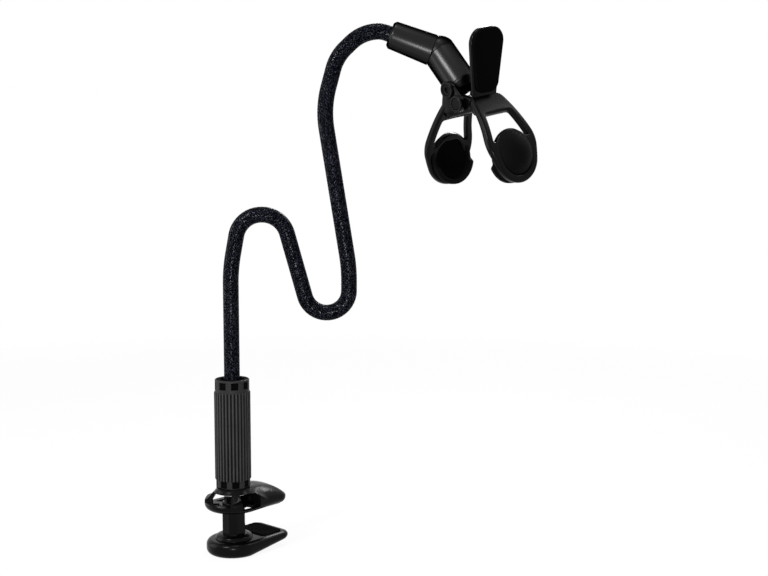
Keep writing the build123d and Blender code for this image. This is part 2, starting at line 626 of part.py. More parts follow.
# Torsion spring round the pin, one leg on each hub
coil = Helix(SPRING_PITCH, 2 * coil_half, SPRING_RADIUS, center=(0, 0, -coil_half))
coil_start = coil @ 0
coil_end = coil @ 1
first_leg = Line(coil_start + Vector(0, -SPRING_LEG_FIXED, 0), coil_start)
last_leg = Line(coil_end, coil_end + Vector(0, SPRING_LEG_MOVING, 0))
first_bar = sweep(Plane(first_leg @ 0, z_dir=first_leg % 0) * Circle(SPRING_WIRE), first_leg)
last_bar = sweep(Plane(last_leg @ 0, z_dir=last_leg % 0) * Circle(SPRING_WIRE), last_leg)
coil_bar = sweep(Plane(coil_start, z_dir=coil % 0) * Circle(SPRING_WIRE), coil, is_frenet=True)
clip_spring = coil_bar
for spot, bar in ((coil_start, first_bar), (coil_end, last_bar)):
    clip_spring = clip_spring + Pos(*spot) * Sphere(1.06 * SPRING_WIRE) + bar
spring_frame = Plane((0, 0, 0), x_dir=(0, 0, 1), z_dir=(0, 1, 0)).location
clip_spring = clip_frame * spring_frame * clip_spring

PIECES = {
    "foot_plate": foot_plate,
    "foot_pad": foot_pad,
    "post": post,
    "post_screw": post_screw,
    "lead_screw": lead_screw,
    "neck_crimp": neck_crimp,
    "neck_core": neck_core,
    "neck_sleeve": neck_sleeve,
    "head_ferrule": head_ferrule,
    "upper_jaw": upper_jaw,
    "upper_jaw_pad": upper_jaw_pad,
    "thrust_washer": thrust_washer,
    "handle_nut": handle_nut,
    "handle_ring": handle_ring,
    "handle_grip": handle_grip,
    "handle_bottom_collar": handle_bottom_collar,
    "handle_top_collar": handle_top_collar,
    "ball_stud": ball_stud,
    "stud_clip": stud_clip,
    "ball_seat": ball_seat,
    "seat_ring": seat_ring,
    "seat_spring": seat_spring,
    "socket_tube": socket_tube,
    "fixed_jaw": fixed_jaw,
    "fixed_jaw_pad": fixed_jaw_pad,
    "cross_bolt": cross_bolt,
    "cross_nut": cross_nut,
    "pivot_pin": pivot_pin,
    "pin_clip": pin_clip,
    "clip_spring": clip_spring,
    "moving_jaw": moving_jaw,
    "moving_jaw_pad": moving_jaw_pad,
    "paddle_pad": paddle_pad,
}
for name, shape in PIECES.items():
    export_step(shape, f"parts/{name}.step")
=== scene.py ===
"""Looks of the clamp-on phone holder: woven neck, ribbed handle, rounded mouldings and finishes.

Lengths here are millimetres until a mesh is made, in the part's own frame: Z is up, X runs along
the clamp jaws towards their tips, and the origin is the middle of the lower gripping face.
"""

from math import cos, pi, radians, sin

import bmesh
import bpy
import numpy as np
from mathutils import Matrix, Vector


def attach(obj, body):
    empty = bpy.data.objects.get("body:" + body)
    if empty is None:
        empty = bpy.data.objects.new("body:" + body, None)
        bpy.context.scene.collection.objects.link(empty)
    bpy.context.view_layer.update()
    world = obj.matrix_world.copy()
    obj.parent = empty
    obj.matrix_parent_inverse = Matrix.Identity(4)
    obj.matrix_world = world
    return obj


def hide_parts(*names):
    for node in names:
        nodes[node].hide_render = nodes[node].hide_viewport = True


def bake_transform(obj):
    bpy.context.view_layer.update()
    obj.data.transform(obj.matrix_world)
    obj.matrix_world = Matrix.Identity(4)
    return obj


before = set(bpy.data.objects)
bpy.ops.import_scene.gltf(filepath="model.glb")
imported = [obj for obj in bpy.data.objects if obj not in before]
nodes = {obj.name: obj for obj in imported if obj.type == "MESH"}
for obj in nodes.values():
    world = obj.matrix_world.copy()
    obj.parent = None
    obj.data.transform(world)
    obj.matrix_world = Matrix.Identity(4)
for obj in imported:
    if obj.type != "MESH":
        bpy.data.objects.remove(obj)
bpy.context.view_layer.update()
MM = 0.001
SEATED = 0.02

# Clamp and handle
POST_X = -32.0
PAD_LENGTH = 25.0
PAD_WIDTH = 37.0
PAD_CORNER = 5.0
PAD_THICK = 2.5
PAD_EDGE = 0.6
PAD_BORDER = 3.6
PAD_GROOVE_DEPTH = 0.55
PAD_GROOVE_PITCH = 3.7
PAD_GROOVE_END = 1.5
GAP = 26.0
GRIP_BOTTOM = 55.1
GRIP_TOP = 136.7
GRIP_RADIUS = 16.6
GRIP_BORE = 12.9
GRIP_EDGE = 0.7
RIBS = 32
RIB_DEPTH = 0.8
RIB_GROOVE = 1.3
RIB_CROWN = 0.12
SCREW_RADIUS = 6.0
SCREW_BOTTOM = 21.5
SCREW_TOP = 85.4
SCREW_LEAD = 4.0
THREAD_DEPTH = 0.9

# Neck, drawn in the upright plane that holds its bends
NECK_YAW = radians(-48.0)
NECK_RADIUS = 7.25
NECK_BORE = 4.45
SLEEVE_START = 146.02
SLEEVE_SINK = 14.0
NECK_BENDS = (
    (0.0, 249.0, 150.0),
    (9.0, 298.4, 23.3),
    (46.9, 298.4, 23.3),
    (71.5, 209.2, 20.3),
    (107.4, 209.2, 20.3),
    (107.6, 250.0, 150.0),
    (84.8, 394.0, 90.0),
    (97.0, 439.0, 40.0),
    (119.0, 460.0, 36.0),
    (137.2, 461.7, 22.0),
)
STRANDS = 16
BRAID_RELIEF = 0.2

# Ball joint and clip
FERRULE_AT = (144.7, 458.9)
FERRULE_DROOP = radians(20.4)
FERRULE_RIM = 39.9
FERRULE_BACK_RADIUS = 10.3
FERRULE_START_RADIUS = 12.6
FERRULE_RIM_RADIUS = 14.08
FERRULE_CHAMFER = 2.3
FERRULE_BORE_DEPTH = 20.0
BALL_REACH = 47.4
DISH_RADIUS = 15.8
DISH_OUTER = radians(62.0)
DISH_INNER = radians(13.0)
STUD_BORE = 3.55
TUBE_RADIUS = 15.0
SEAT_BORE = 13.25
TUBE_SPIGOT = 14.125
LIP_END = -2.48
RING_END = 2.02
BORE_END = 12.8
TUBE_LENGTH = 43.0
TUBE_END_CHAMFER = 5.0
TUBE_CORE = 0.2
PIVOT_REACH = 55.5
PIVOT_TURN = radians(38.71)
PIVOT_RISE = radians(10.72)
CLIP_LEAN = radians(1.5)
TUBE_LEAN = radians(36.5)
SPRING_RADIUS = 4.3
SPRING_WIRE = 0.9
SPRING_PITCH = 2.4
SPRING_TURNS = 6
SPRING_LEG_FIXED = 15.0
SPRING_LEG_MOVING = 12.4
CROSS_GAP = 15.8
BARREL_RADIUS = 7.5
BARREL_END = 20.5
EAR_INNER = 15.3
EAR_OUTER = 18.2
LUG_INNER = 8.8
LUG_OUTER = 14.9
LUG_DISCS = ((0.0, 0.0, 7.0), (15.0, -2.6, 4.6))
HUB_DISCS = ((15.4, -2.0, 4.6), (17.4, -8.0, 4.0))
EAR_RADIUS = 6.9
EAR_ROOT = (-15.0, -2.0, 6.0)
PIN_BORE = 3.02
BOLT_SEAT_RADIUS = 5.1
BOLT_SEAT_DEPTH = 3.0
ARM_POINTS = ((15.0, 2.0), (38.0, -32.0), (45.5, -80.0))
ARM_THICK = 6.4
ARM_EDGE = 1.9
ARM_DISCS = ((-12.5, -3.0, 6.0), (12.5, -3.0, 6.0), (0.0, -38.0, 27.5), (0.0, -49.5, 24.0))
LEG_WIDTH = 6.6
ARM_BAR = -13.0
WINDOW_MIDDLE = -21.0
WINDOW_SPREAD = radians(48)
WINDOW_FADE = radians(20)
CUP_X = 46.5
CUP_Z = -49.5
CUP_DISC = 21.0
CUP_SPHERE = 24.5
CUP_CROWN = 8.0
CUP_WALL = 3.0
CUP_RIM = -8.0
CUP_STRIP = 5.0
CUP_BAND_OUTER = 22.2
CUP_BAND_INNER = 17.2
CUP_BAND_LIMIT = 30.0
CUP_POLE = 0.01
LIP_LEAST = 0.08
LIP_RADIUS = 20.0
LIP_FROM = 3.0
LIP_FADE = 4.0
PADDLE_AT = (14.6, 0.0)
PADDLE_LEAN = radians(13.8)
PADDLE_HALF = 18.0
PADDLE_FOOT_HALF = 13.6
PADDLE_CORNER = 13.0
PADDLE_TOP = 63.0
PADDLE_THICK = 4.6
PADDLE_PAD = 3.0
PADDLE_FOOT = -2.5
PADDLE_FOOT_CORNER = 4.5
PADDLE_EDGE = 1.6
CUSHION_FOOT = 7.0
CUSHION_CORNER = 9.0
CUSHION_EDGE = 1.9
CUSHION_SINK = 0.3

# Foot, upper jaw and collars
FOOT_HEEL = 25.4
FOOT_REACH = 51.5
FOOT_HALF_WIDTH = 24.0
FOOT_CORNER = 10.0
FOOT_BOTTOM = -14.5
FOOT_TIP_RISE = 6.5
FOOT_RISE_FROM = 2.0
FOOT_TOP = -1.0
FOOT_EDGE = 5.0
BOSS_FOOT_RADIUS = 17.4
BOSS_SHOULDER = (16.0, 2.2)
BOSS_TOP_RADIUS = 12.6
BOSS_TOP = 3.4
BOSS_BORE = 10.9
JAW_HEEL = 26.6
JAW_REACH = 49.0
JAW_PLATE_TOP = 33.6
PILLOW_EDGE = 16.0
PILLOW_FROM = 8.0
PILLOW_FADE = 14.0
PILLOW_WAYS = (-86.1, -65, -43, -21, 0, 21, 43, 65, 86.1)
PILLOW_CUTS = (0.12, 0.4, 0.9, 1.7, 2.8, 4.2, 6.0, 8.5, 12.0)
COLLAR_RADIUS = 15.7
HANDLE_BOTTOM = 48.3
HANDLE_TOP = 148.3
COLLAR_STEP = 0.8
NOTCHES = 8
NOTCH_WIDTH = 7.0
NOTCH_HEIGHT = 6.4
NOTCH_DEPTH = 1.6
NOTCH_BLEND = 0.6
NOTCH_LIP = 0.2
NOTCH_PHASE = radians(13.7)
NECK_RECESS = 11.2
NECK_RECESS_DEPTH = 4.6
NECK_PASS = 7.55


def unit(vector):
    """Vector of length one."""
    return vector / np.linalg.norm(vector)


RIGHT = np.array((cos(NECK_YAW), sin(NECK_YAW), 0.0))
UP = np.array((0.0, 0.0, 1.0))
FRONT = np.cross(RIGHT, UP)
POST_AT = np.array((POST_X, 0.0, 0.0))
FERRULE_AXIS = cos(FERRULE_DROOP) * RIGHT - sin(FERRULE_DROOP) * UP
FERRULE_START = POST_AT + FERRULE_AT[0] * RIGHT + FERRULE_AT[1] * UP
BALL_CENTRE = FERRULE_START + BALL_REACH * FERRULE_AXIS
PIVOT_AXIS = cos(PIVOT_RISE) * (cos(PIVOT_TURN) * RIGHT - sin(PIVOT_TURN) * FRONT) + sin(PIVOT_RISE) * UP
LEVEL_UP = unit(UP - PIVOT_AXIS * (UP @ PIVOT_AXIS))
CLIP_UP = cos(CLIP_LEAN) * LEVEL_UP - sin(CLIP_LEAN) * np.cross(PIVOT_AXIS, LEVEL_UP)
CLIP_ACROSS = np.cross(PIVOT_AXIS, CLIP_UP)
TUBE_AXIS = sin(TUBE_LEAN) * CLIP_ACROSS - cos(TUBE_LEAN) * CLIP_UP
PIVOT_CENTRE = BALL_CENTRE + PIVOT_REACH * TUBE_AXIS


# Meshes
def linked(name, data):
    """New object in the scene for a mesh, a lamp or a camera."""
    made = bpy.data.objects.new(name, data)
    bpy.context.scene.collection.objects.link(made)
    return made


def compass(count):
    """Even angles all round, and the direction of each."""
    angles = np.linspace(0, 2 * pi, count, endpoint=False)
    return angles, np.stack((np.cos(angles), np.sin(angles)), -1)


def about_post(radius, height, angles):
    """Points round the post's axis, from a radius for each row and angle and a height for each row."""
    return np.stack((POST_X + radius * np.cos(angles), radius * np.sin(angles), height + 0 * angles), -1)


def smooth_step(value):
    """Nought to one with flat ends."""
    value = np.clip(value, 0, 1)
    return value * value * (3 - 2 * value)


def rounded(corners, radii, turn_step=radians(6)):
    """Path through corners, each inner one made an arc: the arc begins r tan(turn / 2) before the
    corner and turns about a centre that lies r to the side of the incoming line."""
    corners = np.asarray(corners, float)
    path = [corners[:1]]
    for before, corner, after, radius in zip(corners, corners[1:], corners[2:], radii):
        into = unit(corner - before)
        out = unit(after - corner)
        turn = np.arctan2(into[0] * out[1] - into[1] * out[0], into @ out)
        side = np.sign(turn) * np.array((-into[1], into[0]))
        begin = corner - into * radius * np.tan(abs(turn) / 2)
        angles = np.linspace(0, turn, 2 + int(abs(turn) / turn_step))[:, None]
        arm = -side * radius
        arm_turned = np.array((-arm[1], arm[0]))
        path.append(begin - arm + np.cos(angles) * arm + np.sin(angles) * arm_turned)
    path.append(corners[-1:])
    return np.vstack(path)


def rounded_ring(corners, radii, turn_step=radians(12)):
    """Closed outline through corners, each with its own radius."""
    corners = np.asarray(corners, float)
    wrapped = np.vstack((corners[-1:], corners, corners[:1]))
    return rounded(wrapped, radii, turn_step)[1:-1]


def cells(grid, ring_rows):
    """Row, column, next row and next column of each four-sided face over a grid."""
    rows, columns = grid.shape[:2]
    row_ends = rows if ring_rows else rows - 1
    i, j = np.meshgrid(np.arange(row_ends), np.arange(columns), indexing="ij")
    return i, j, (i + 1) % rows, (j + 1) % columns


def grid_faces(grid, ring_rows, first=0):
    """Faces over a grid of points whose columns close on themselves. The rows either close too or
    end in flat caps."""
    rows, columns = grid.shape[:2]
    i, j, next_i, next_j = cells(grid, ring_rows)
    row = i * columns
    next_row = next_i * columns
    quads = np.stack((row + j, row + next_j, next_row + next_j, next_row + j), -1)
    faces = (first + quads.reshape(-1, 4)).tolist()
    if not ring_rows:
        faces.append(list(range(first, first + columns))[::-1])
        faces.append(list(range(first + (rows - 1) * columns, first + rows * columns)))
    return faces


def grid_piece(name, grid, ring_rows=False, uv_rows=None):
    """Piece over one grid. UV is the share of the way round and uv_rows, a length for each row."""
    mesh = bpy.data.meshes.new(name)
    mesh.from_pydata((grid.reshape(-1, 3) * MM).tolist(), [], grid_faces(grid, ring_rows))
    if uv_rows is not None:
        i, j, next_i, _ = cells(grid, ring_rows)
        around = np.stack((j, j + 1, j + 1, j), -1) / grid.shape[1]
        along = np.stack((uv_rows[i], uv_rows[i], uv_rows[next_i], uv_rows[next_i]), -1)
        corners = np.zeros((len(mesh.loops), 2), np.float32)
        corners[: around.size] = np.stack((around, along), -1).reshape(-1, 2)
        mesh.uv_layers.new(name="UVMap").data.foreach_set("uv", corners.ravel())
    return mesh_piece(name, mesh)


def shells_piece(name, shells):
    """One moulding from several closed shells, each a grid and whether its rows close."""
    points = []
    faces = []
    count = 0
    for grid, ring_rows in shells:
        points.append(grid.reshape(-1, 3))
        faces += grid_faces(grid, ring_rows, count)
        count += grid.shape[0] * grid.shape[1]
    mesh = bpy.data.meshes.new(name)
    mesh.from_pydata((np.vstack(points) * MM).tolist(), [], faces)
    return mesh_piece(name, mesh)


def hull(discs, inset=0.0, count=160):
    """Outline wrapped round discs (x, y, radius), moved in by an inset: in each direction it passes
    through the disc that reaches farthest that way."""
    discs = np.asarray(discs, float)
    _, ways = compass(count)
    best = np.argmax(ways @ discs[:, :2].T + discs[:, 2] - inset, axis=1)
    return discs[best, :2] + (discs[best, 2:] - inset) * ways


def slab(discs, low, high, edge, count=160):
    """Plate over a hull of discs: rings step in along a quarter circle at both rounded edges. Gives
    (x, y, height) points."""
    turn = np.linspace(0, pi / 2, 6)
    insets = np.append(edge * (1 - np.sin(turn)), edge * (1 - np.cos(turn)))
    heights = np.append(low + edge * (1 - np.cos(turn)), high - edge * (1 - np.sin(turn)))
    rings = [hull(discs, inset, count) for inset in insets]
    return np.stack([np.insert(ring, 2, height, axis=1) for ring, height in zip(rings, heights)])


def in_clip(points):
    """Points in the clip's own frame (across, along the pivot, up) placed in the part's frame."""
    return PIVOT_CENTRE + points @ np.stack((CLIP_ACROSS, PIVOT_AXIS, CLIP_UP))


def mesh_piece(name, mesh, sharp=radians(38)):
    """Object for a mesh, smooth but for edges past an angle, with its faces turned outwards."""
    work = bmesh.new()
    work.from_mesh(mesh)
    bmesh.ops.recalc_face_normals(work, faces=work.faces)
    work.to_mesh(mesh)
    work.free()
    mesh.shade_smooth()
    mesh.set_sharp_from_angle(angle=sharp)
    return linked(name, mesh)


def turned(name, profile, origin, axis, steps=96):
    """Ring turned about an axis: each (radius, height) of a closed profile is carried round."""
    side = unit(np.cross(axis, (0.3, 0.2, 0.9) if abs(axis[2]) < 0.9 else (1.0, 0.0, 0.0)))
    other = np.cross(axis, side)
    angles, _ = compass(steps)
    spoke = np.cos(angles)[:, None] * side + np.sin(angles)[:, None] * other
    grid = origin + profile[:, 0, None, None] * spoke + profile[:, 1, None, None] * axis
    lengths = np.append(0, np.cumsum(np.linalg.norm(np.diff(profile, axis=0), axis=1)))
    return grid_piece(name, grid, True, lengths)


def carried(name, path, radius, columns=12):
    """Round bar: a circle carried along a path, square to its direction, with flat ends."""
    along = np.gradient(path, axis=0)
    along /= np.linalg.norm(along, axis=1)[:, None]
    side = np.cross(along, PIVOT_AXIS)
    side[np.linalg.norm(side, axis=1) < 0.05] = CLIP_UP
    side /= np.linalg.norm(side, axis=1)[:, None]
    other = np.cross(along, side)
    angles = compass(columns)[0][None, :, None]
    spoke = np.cos(angles) * side[:, None] + np.sin(angles) * other[:, None]
    return grid_piece(name, path[:, None] + radius * spoke)


def merged(mesh, apart, planes=()):
    """Joins a mesh's points that lie within a distance, then cuts it by planes, or without planes merges what
    is flat.
    """
    work = bmesh.new()
    work.from_mesh(mesh)
    bmesh.ops.remove_doubles(work, verts=work.verts, dist=apart)
    for point, normal in planes:
        everything = work.verts[:] + work.edges[:] + work.faces[:]
        bmesh.ops.bisect_plane(work, geom=everything, dist=1e-7, plane_co=point, plane_no=normal)
    if not planes:
        bmesh.ops.dissolve_limit(work, angle_limit=radians(0.4), verts=work.verts, edges=work.edges)
    work.to_mesh(mesh)
    work.free()


def softened(node, width, segments=3, sharp=radians(32), reshape=None):
    """Copy of a solid with its loose triangles merged and its sharp edges rounded to a width."""
    mesh = nodes[node].data.copy()
    if reshape:
        reshape(mesh)
    merged(mesh, 2e-6)
    mesh.shade_smooth()
    mesh.set_sharp_from_angle(angle=sharp)
    piece = linked(node + "_rounded", mesh)
    edge = piece.modifiers.new("rounded_edges", "BEVEL")
    edge.width = width * MM
    edge.segments = segments
    edge.limit_method = "ANGLE"
    edge.angle_limit = sharp
    edge.use_clamp_overlap = True
    edge.harden_normals = True
    return piece


# Finishes
class Shade:
    """A shader socket: sums and products of shades and numbers add Math nodes to its finish."""

    def __init__(self, finish, socket):
        self.finish = finish
        self.socket = socket

    def maths(self, operation, first, second):
        """Math node on two values."""
        return self.finish.node("ShaderNodeMath", {"operation": operation}, {0: first, 1: second}, 0)

    def __add__(self, other):
        return self.maths("ADD", self, other)

    def __radd__(self, other):
        return self.maths("ADD", other, self)

    def __sub__(self, other):
        return self.maths("SUBTRACT", self, other)

    def __rsub__(self, other):
        return self.maths("SUBTRACT", other, self)

    def __mul__(self, other):
        return self.maths("MULTIPLY", self, other)

    def __rmul__(self, other):
        return self.maths("MULTIPLY", other, self)

    def __pow__(self, other):
        return self.maths("POWER", self, other)

    def __abs__(self):
        return self.maths("ABSOLUTE", self, 0.0)

    def wave(self):
        """Sine of the value."""
        return self.maths("SINE", self, 0.0)

    def above(self, level):
        """One where the value is over a level, else nought."""
        return self.maths("GREATER_THAN", self, level)


class Finish:
    """A procedural material built node by node."""

    def __init__(self, name, tree=None):
        if tree is None:
            self.material = bpy.data.materials.new(name)
            self.material.use_nodes = True
            tree = self.material.node_tree
        self.tree = tree
        self.tree.nodes.clear()

    def node(self, kind, settings, inputs, output):
        """Adds a node: its settings first, then the values or links of its sockets."""
        made = self.tree.nodes.new(kind)
        for key, value in settings.items():
            setattr(made, key, value)
        for key, value in inputs.items():
            if isinstance(value, Shade):
                self.tree.links.new(value.socket, made.inputs[key])
            else:
                made.inputs[key].default_value = value
        return Shade(self, made.outputs[output])

    def place(self, kind="Object"):
        """Coordinates on the piece."""
        return self.node("ShaderNodeTexCoord", {}, {}, kind)

    def noise(self, place, scale, detail=2.0):
        """Soft noise from nought to one; the scale is in waves per unit of the coordinates."""
        return self.node("ShaderNodeTexNoise", {}, {"Vector": place, "Scale": scale, "Detail": detail}, "Fac")

    def stretched(self, place, scale):
        """Coordinates multiplied axis by axis."""
        return self.node("ShaderNodeMapping", {}, {"Vector": place, "Scale": scale}, 0)

    def mixed(self, share, first, second):
        """Colour between two colours."""
        return self.node("ShaderNodeMix", {"data_type": "RGBA"}, {0: share, 6: first, 7: second}, 2)

    def bump(self, height, depth, strength=1.0):
        """Normal from a height of nought to one, with a depth in metres."""
        return self.node("ShaderNodeBump", {}, {"Height": height, "Distance": depth, "Strength": strength}, 0)

    def surface(self, **values):
        """Principled shader with these sockets, on the material's output."""
        inputs = {key.replace("_", " "): value for key, value in values.items()}
        shader = self.node("ShaderNodeBsdfPrincipled", {}, inputs, 0)
        self.node_output(shader)
        return self.material

    def node_output(self, shader, kind="ShaderNodeOutputMaterial"):
        """Links a shader to the output."""
        made = self.tree.nodes.new(kind)
        self.tree.links.new(shader.socket, made.inputs["Surface"])


def grey(level, blue=0.0):
    """Neutral colour with a little blue added."""
    return (level, level, level + blue, 1.0)


def moulded_gloss():
    """Black moulding: slow waviness in its gloss, a very fine grain and faint rubbing marks."""
    finish = Finish("moulded_gloss")
    place = finish.place()
    flow = finish.noise(place, 40.0, 3.0)
    grain = finish.noise(place, 2200.0)
    rub = finish.noise(finish.stretched(place, (900.0, 120.0, 900.0)), 1.0, 3.0)
    return finish.surface(
        Base_Color=finish.mixed(flow, grey(0.0006), grey(0.0016, 0.0001)),
        Roughness=0.17 + 0.07 * flow + 0.05 * rub,
        Specular_IOR_Level=0.07,
        Normal=finish.bump(0.6 * grain + 0.4 * flow, 0.000008, 0.35),
    )


def grained_moulding(name, cloud_waves, grain_waves, dark, pale, rough, cloudy, grainy, level, depth):
    """Black moulding with an even spark-eroded grain, and a slow cloudiness where it has been handled."""
    finish = Finish(name)
    place = finish.place()
    cloud = finish.noise(place, cloud_waves, 3.0)
    grain = finish.noise(place, grain_waves, 3.0)
    return finish.surface(
        Base_Color=finish.mixed(cloud, grey(dark), grey(pale, 0.0001)),
        Roughness=rough + cloudy * cloud + grainy * grain,
        Specular_IOR_Level=level,
        Normal=finish.bump(grain, depth, 0.4),
    )


def notched_collar():
    """Satin collar: paler and smoother on its outside than in its notches, which are painted near black as
    shade standing in for their depth. The outside is where the distance from the post's axis is within one
    step of the collar's radius."""
    finish = Finish("notched_collar")
    to_post = {"Vector": finish.place(), "Location": (-POST_X * MM, 0, 0), "Scale": (1, 1, 0)}
    centred = finish.node("ShaderNodeMapping", {}, to_post, 0)
    radius = finish.node("ShaderNodeVectorMath", {"operation": "LENGTH"}, {0: centred}, "Value")
    outside = radius.above((COLLAR_RADIUS - COLLAR_STEP) * MM)
    grain = finish.noise(finish.place(), 1500.0, 3.0)
    return finish.surface(
        # painted shade: the notches get near black in place of the shade in their depth, the outside keeps
        # the collar's grey
        Base_Color=finish.mixed(outside, grey(0.0004), grey(0.02, 0.0003)),
        Roughness=0.9 - outside * (0.48 + 0.08 * grain),
        Specular_IOR_Level=0.05,
        Normal=finish.bump(grain, 0.00006, 0.4),
    )


def pad_rubber():
    """Dull black rubber with a pebbled skin and a little dust in it."""
    finish = Finish("pad_rubber")
    place = finish.place()
    pebble = finish.noise(place, 1100.0, 3.0)
    dust = finish.noise(place, 90.0, 4.0)
    return finish.surface(
        Base_Color=finish.mixed(dust * pebble, grey(0.0006), grey(0.0025)),
        Roughness=0.75 + 0.2 * dust,
        Specular_IOR_Level=0.02,
        Normal=finish.bump(pebble, 0.00012, 0.5),
    )


def ribbed_grip():
    """Dark grey grip: ribs paler on their crests, as rubbed, and near black in the grooves as painted shade,
    with a fine grain.
    """
    finish = Finish("ribbed_grip")
    place = finish.place()
    parts = finish.node("ShaderNodeSeparateXYZ", {}, {0: finish.place("UV")}, 0)
    # crests rubbed paler as wear, and grooves painted near black as shade
    crest_wear_groove_shade = abs((parts * (pi * RIBS)).wave()) ** 2.0
    grain = finish.noise(place, 1300.0, 3.0)
    dust = finish.noise(place, 70.0, 3.0)
    return finish.surface(
        Base_Color=finish.mixed(crest_wear_groove_shade * (0.6 + 0.4 * dust), grey(0.0006), grey(0.05, 0.0005)),
        Roughness=0.45 + 0.12 * dust + 0.08 * grain,
        Specular_IOR_Level=0.04,
        Normal=finish.bump(grain, 0.00008, 0.5),
    )


def satin_anodised():
    """Black anodised tube: fine turning lines round it, seen in its gloss and its surface."""
    finish = Finish("satin_anodised")
    lines = finish.noise(finish.stretched(finish.place("UV"), (6.0, 5.0, 1.0)), 1.0, 4.0)
    flow = finish.noise(finish.place(), 60.0, 3.0)
    return finish.surface(
        Base_Color=finish.mixed(lines, grey(0.019), grey(0.023, 0.0004)),
        Metallic=1.0,
        Roughness=0.25 + 0.05 * lines + 0.04 * flow,
        Specular_Tint=grey(0.08),
        Normal=finish.bump(lines, 0.000012, 0.5),
    )


def plated_metal(name, low, high, rough, edge):
    """Plated metal with a slow cloudiness and fine scratches; edge is its tint at a glancing angle."""
    finish = Finish(name)
    place = finish.place()
    cloud = finish.noise(place, 80.0, 3.0)
    scratch = finish.noise(finish.stretched(place, (2600.0, 2600.0, 260.0)), 1.0, 3.0)
    return finish.surface(
        Base_Color=finish.mixed(cloud, low, high),
        Metallic=1.0,
        Roughness=rough + 0.12 * cloud + 0.1 * scratch,
        Specular_Tint=edge,
        Normal=finish.bump(scratch, 0.00003, 0.4),
    )


def woven_sleeve():
    """Braided nylon: two sets of strands cross at 45 degrees, and where the product of their sines is above
    nought the first set is on top. Fine yarn lines follow the strand that is on top. The colour is painted
    darker in the hollows between strands as shade, and a patchy noise picks yarn that is painted paler as a
    glint, where a thin coat shines too."""
    finish = Finish("woven_sleeve")
    place = finish.place("UV")
    around = finish.node("ShaderNodeSeparateXYZ", {}, {0: place}, 0)
    along = finish.node("ShaderNodeSeparateXYZ", {}, {0: place}, 1)
    first = around * (pi * STRANDS) + along * (pi * STRANDS)
    second = around * (pi * STRANDS) - along * (pi * STRANDS)
    on_top = (first.wave() * second.wave()).above(0.0)
    yarn = (on_top * (first * 8.0).wave() + (1.0 - on_top) * (second * 8.0).wave()) * 0.5 + 0.5
    pillow = abs(first.wave() * second.wave()) ** 0.5
    fuzz = finish.noise(finish.place(), 1600.0, 3.0)
    patchy = 7.0 * (finish.noise(finish.place(), 850.0, 2.0) - 0.5)
    glint = patchy.maths("MINIMUM", patchy.maths("MAXIMUM", patchy, 0.0), 1.0)
    # painted glint on the patchy yarn and painted shade in the hollows between strands, over the yarn lines
    # and fuzz
    yarn_glint_and_gap_shade = pillow * (0.35 + 0.35 * yarn + 0.3 * fuzz) * (0.04 + 0.96 * glint)
    return finish.surface(
        Base_Color=finish.mixed(yarn_glint_and_gap_shade, (0.0004, 0.0004, 0.0007, 1.0), (0.036, 0.04, 0.065, 1.0)),
        Roughness=0.35 + 0.2 * fuzz,
        Specular_IOR_Level=0.006,
        Coat_Weight=0.95 * glint * pillow,
        Coat_IOR=1.3,
        Coat_Roughness=0.24,
        Normal=finish.bump(pillow * (0.5 + 0.3 * yarn + 0.2 * fuzz), 0.00025, 0.7),
    )


GLOSS = moulded_gloss()
SATIN = grained_moulding("satin_moulding", 55.0, 1500.0, 0.0006, 0.0018, 0.17, 0.07, 0.05, 0.07, 0.00003)
DULL = grained_moulding("soft_touch", 70.0, 1700.0, 0.001, 0.0025, 0.5, 0.14, 0.06, 0.03, 0.00005)
COLLAR = notched_collar()
RUBBER = pad_rubber()
GRIP = ribbed_grip()
ANODISED = satin_anodised()
BLACKENED = plated_metal("blackened_metal", grey(0.006), grey(0.014), 0.24, grey(0.1))
STEEL = plated_metal("plated_steel", grey(0.32), grey(0.5), 0.24, grey(1.0))
BRASS = plated_metal("turned_brass", (0.5, 0.34, 0.12, 1.0), (0.66, 0.48, 0.2, 1.0), 0.28, grey(1.0))
CORE = plated_metal("drawn_core", grey(0.45), grey(0.6), 0.35, grey(1.0))
BRAID = woven_sleeve()


def dress(piece, material, body, node):
    """Gives a new piece its finish, slot and body, and hides the solid it stands for."""
    piece.data.materials.clear()
    piece.data.materials.append(material)
    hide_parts(node)
    if body:
        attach(piece, body)
    return piece


# Neck
def neck_line():
    """Middle line of the neck: its corners turned into arcs, then even steps along its length."""
    end = np.array(FERRULE_AT) + SLEEVE_SINK * np.array((cos(FERRULE_DROOP), -sin(FERRULE_DROOP)))
    bends = [(r, u) for r, u, radius in NECK_BENDS]
    line = rounded([(0.0, SLEEVE_START), *bends, end], [radius for r, u, radius in NECK_BENDS], radians(1))
    reach = np.append(0, np.cumsum(np.linalg.norm(np.diff(line, axis=0), axis=1)))
    keep = np.append(True, np.diff(reach) > 1e-6)
    return line[keep], reach[keep]


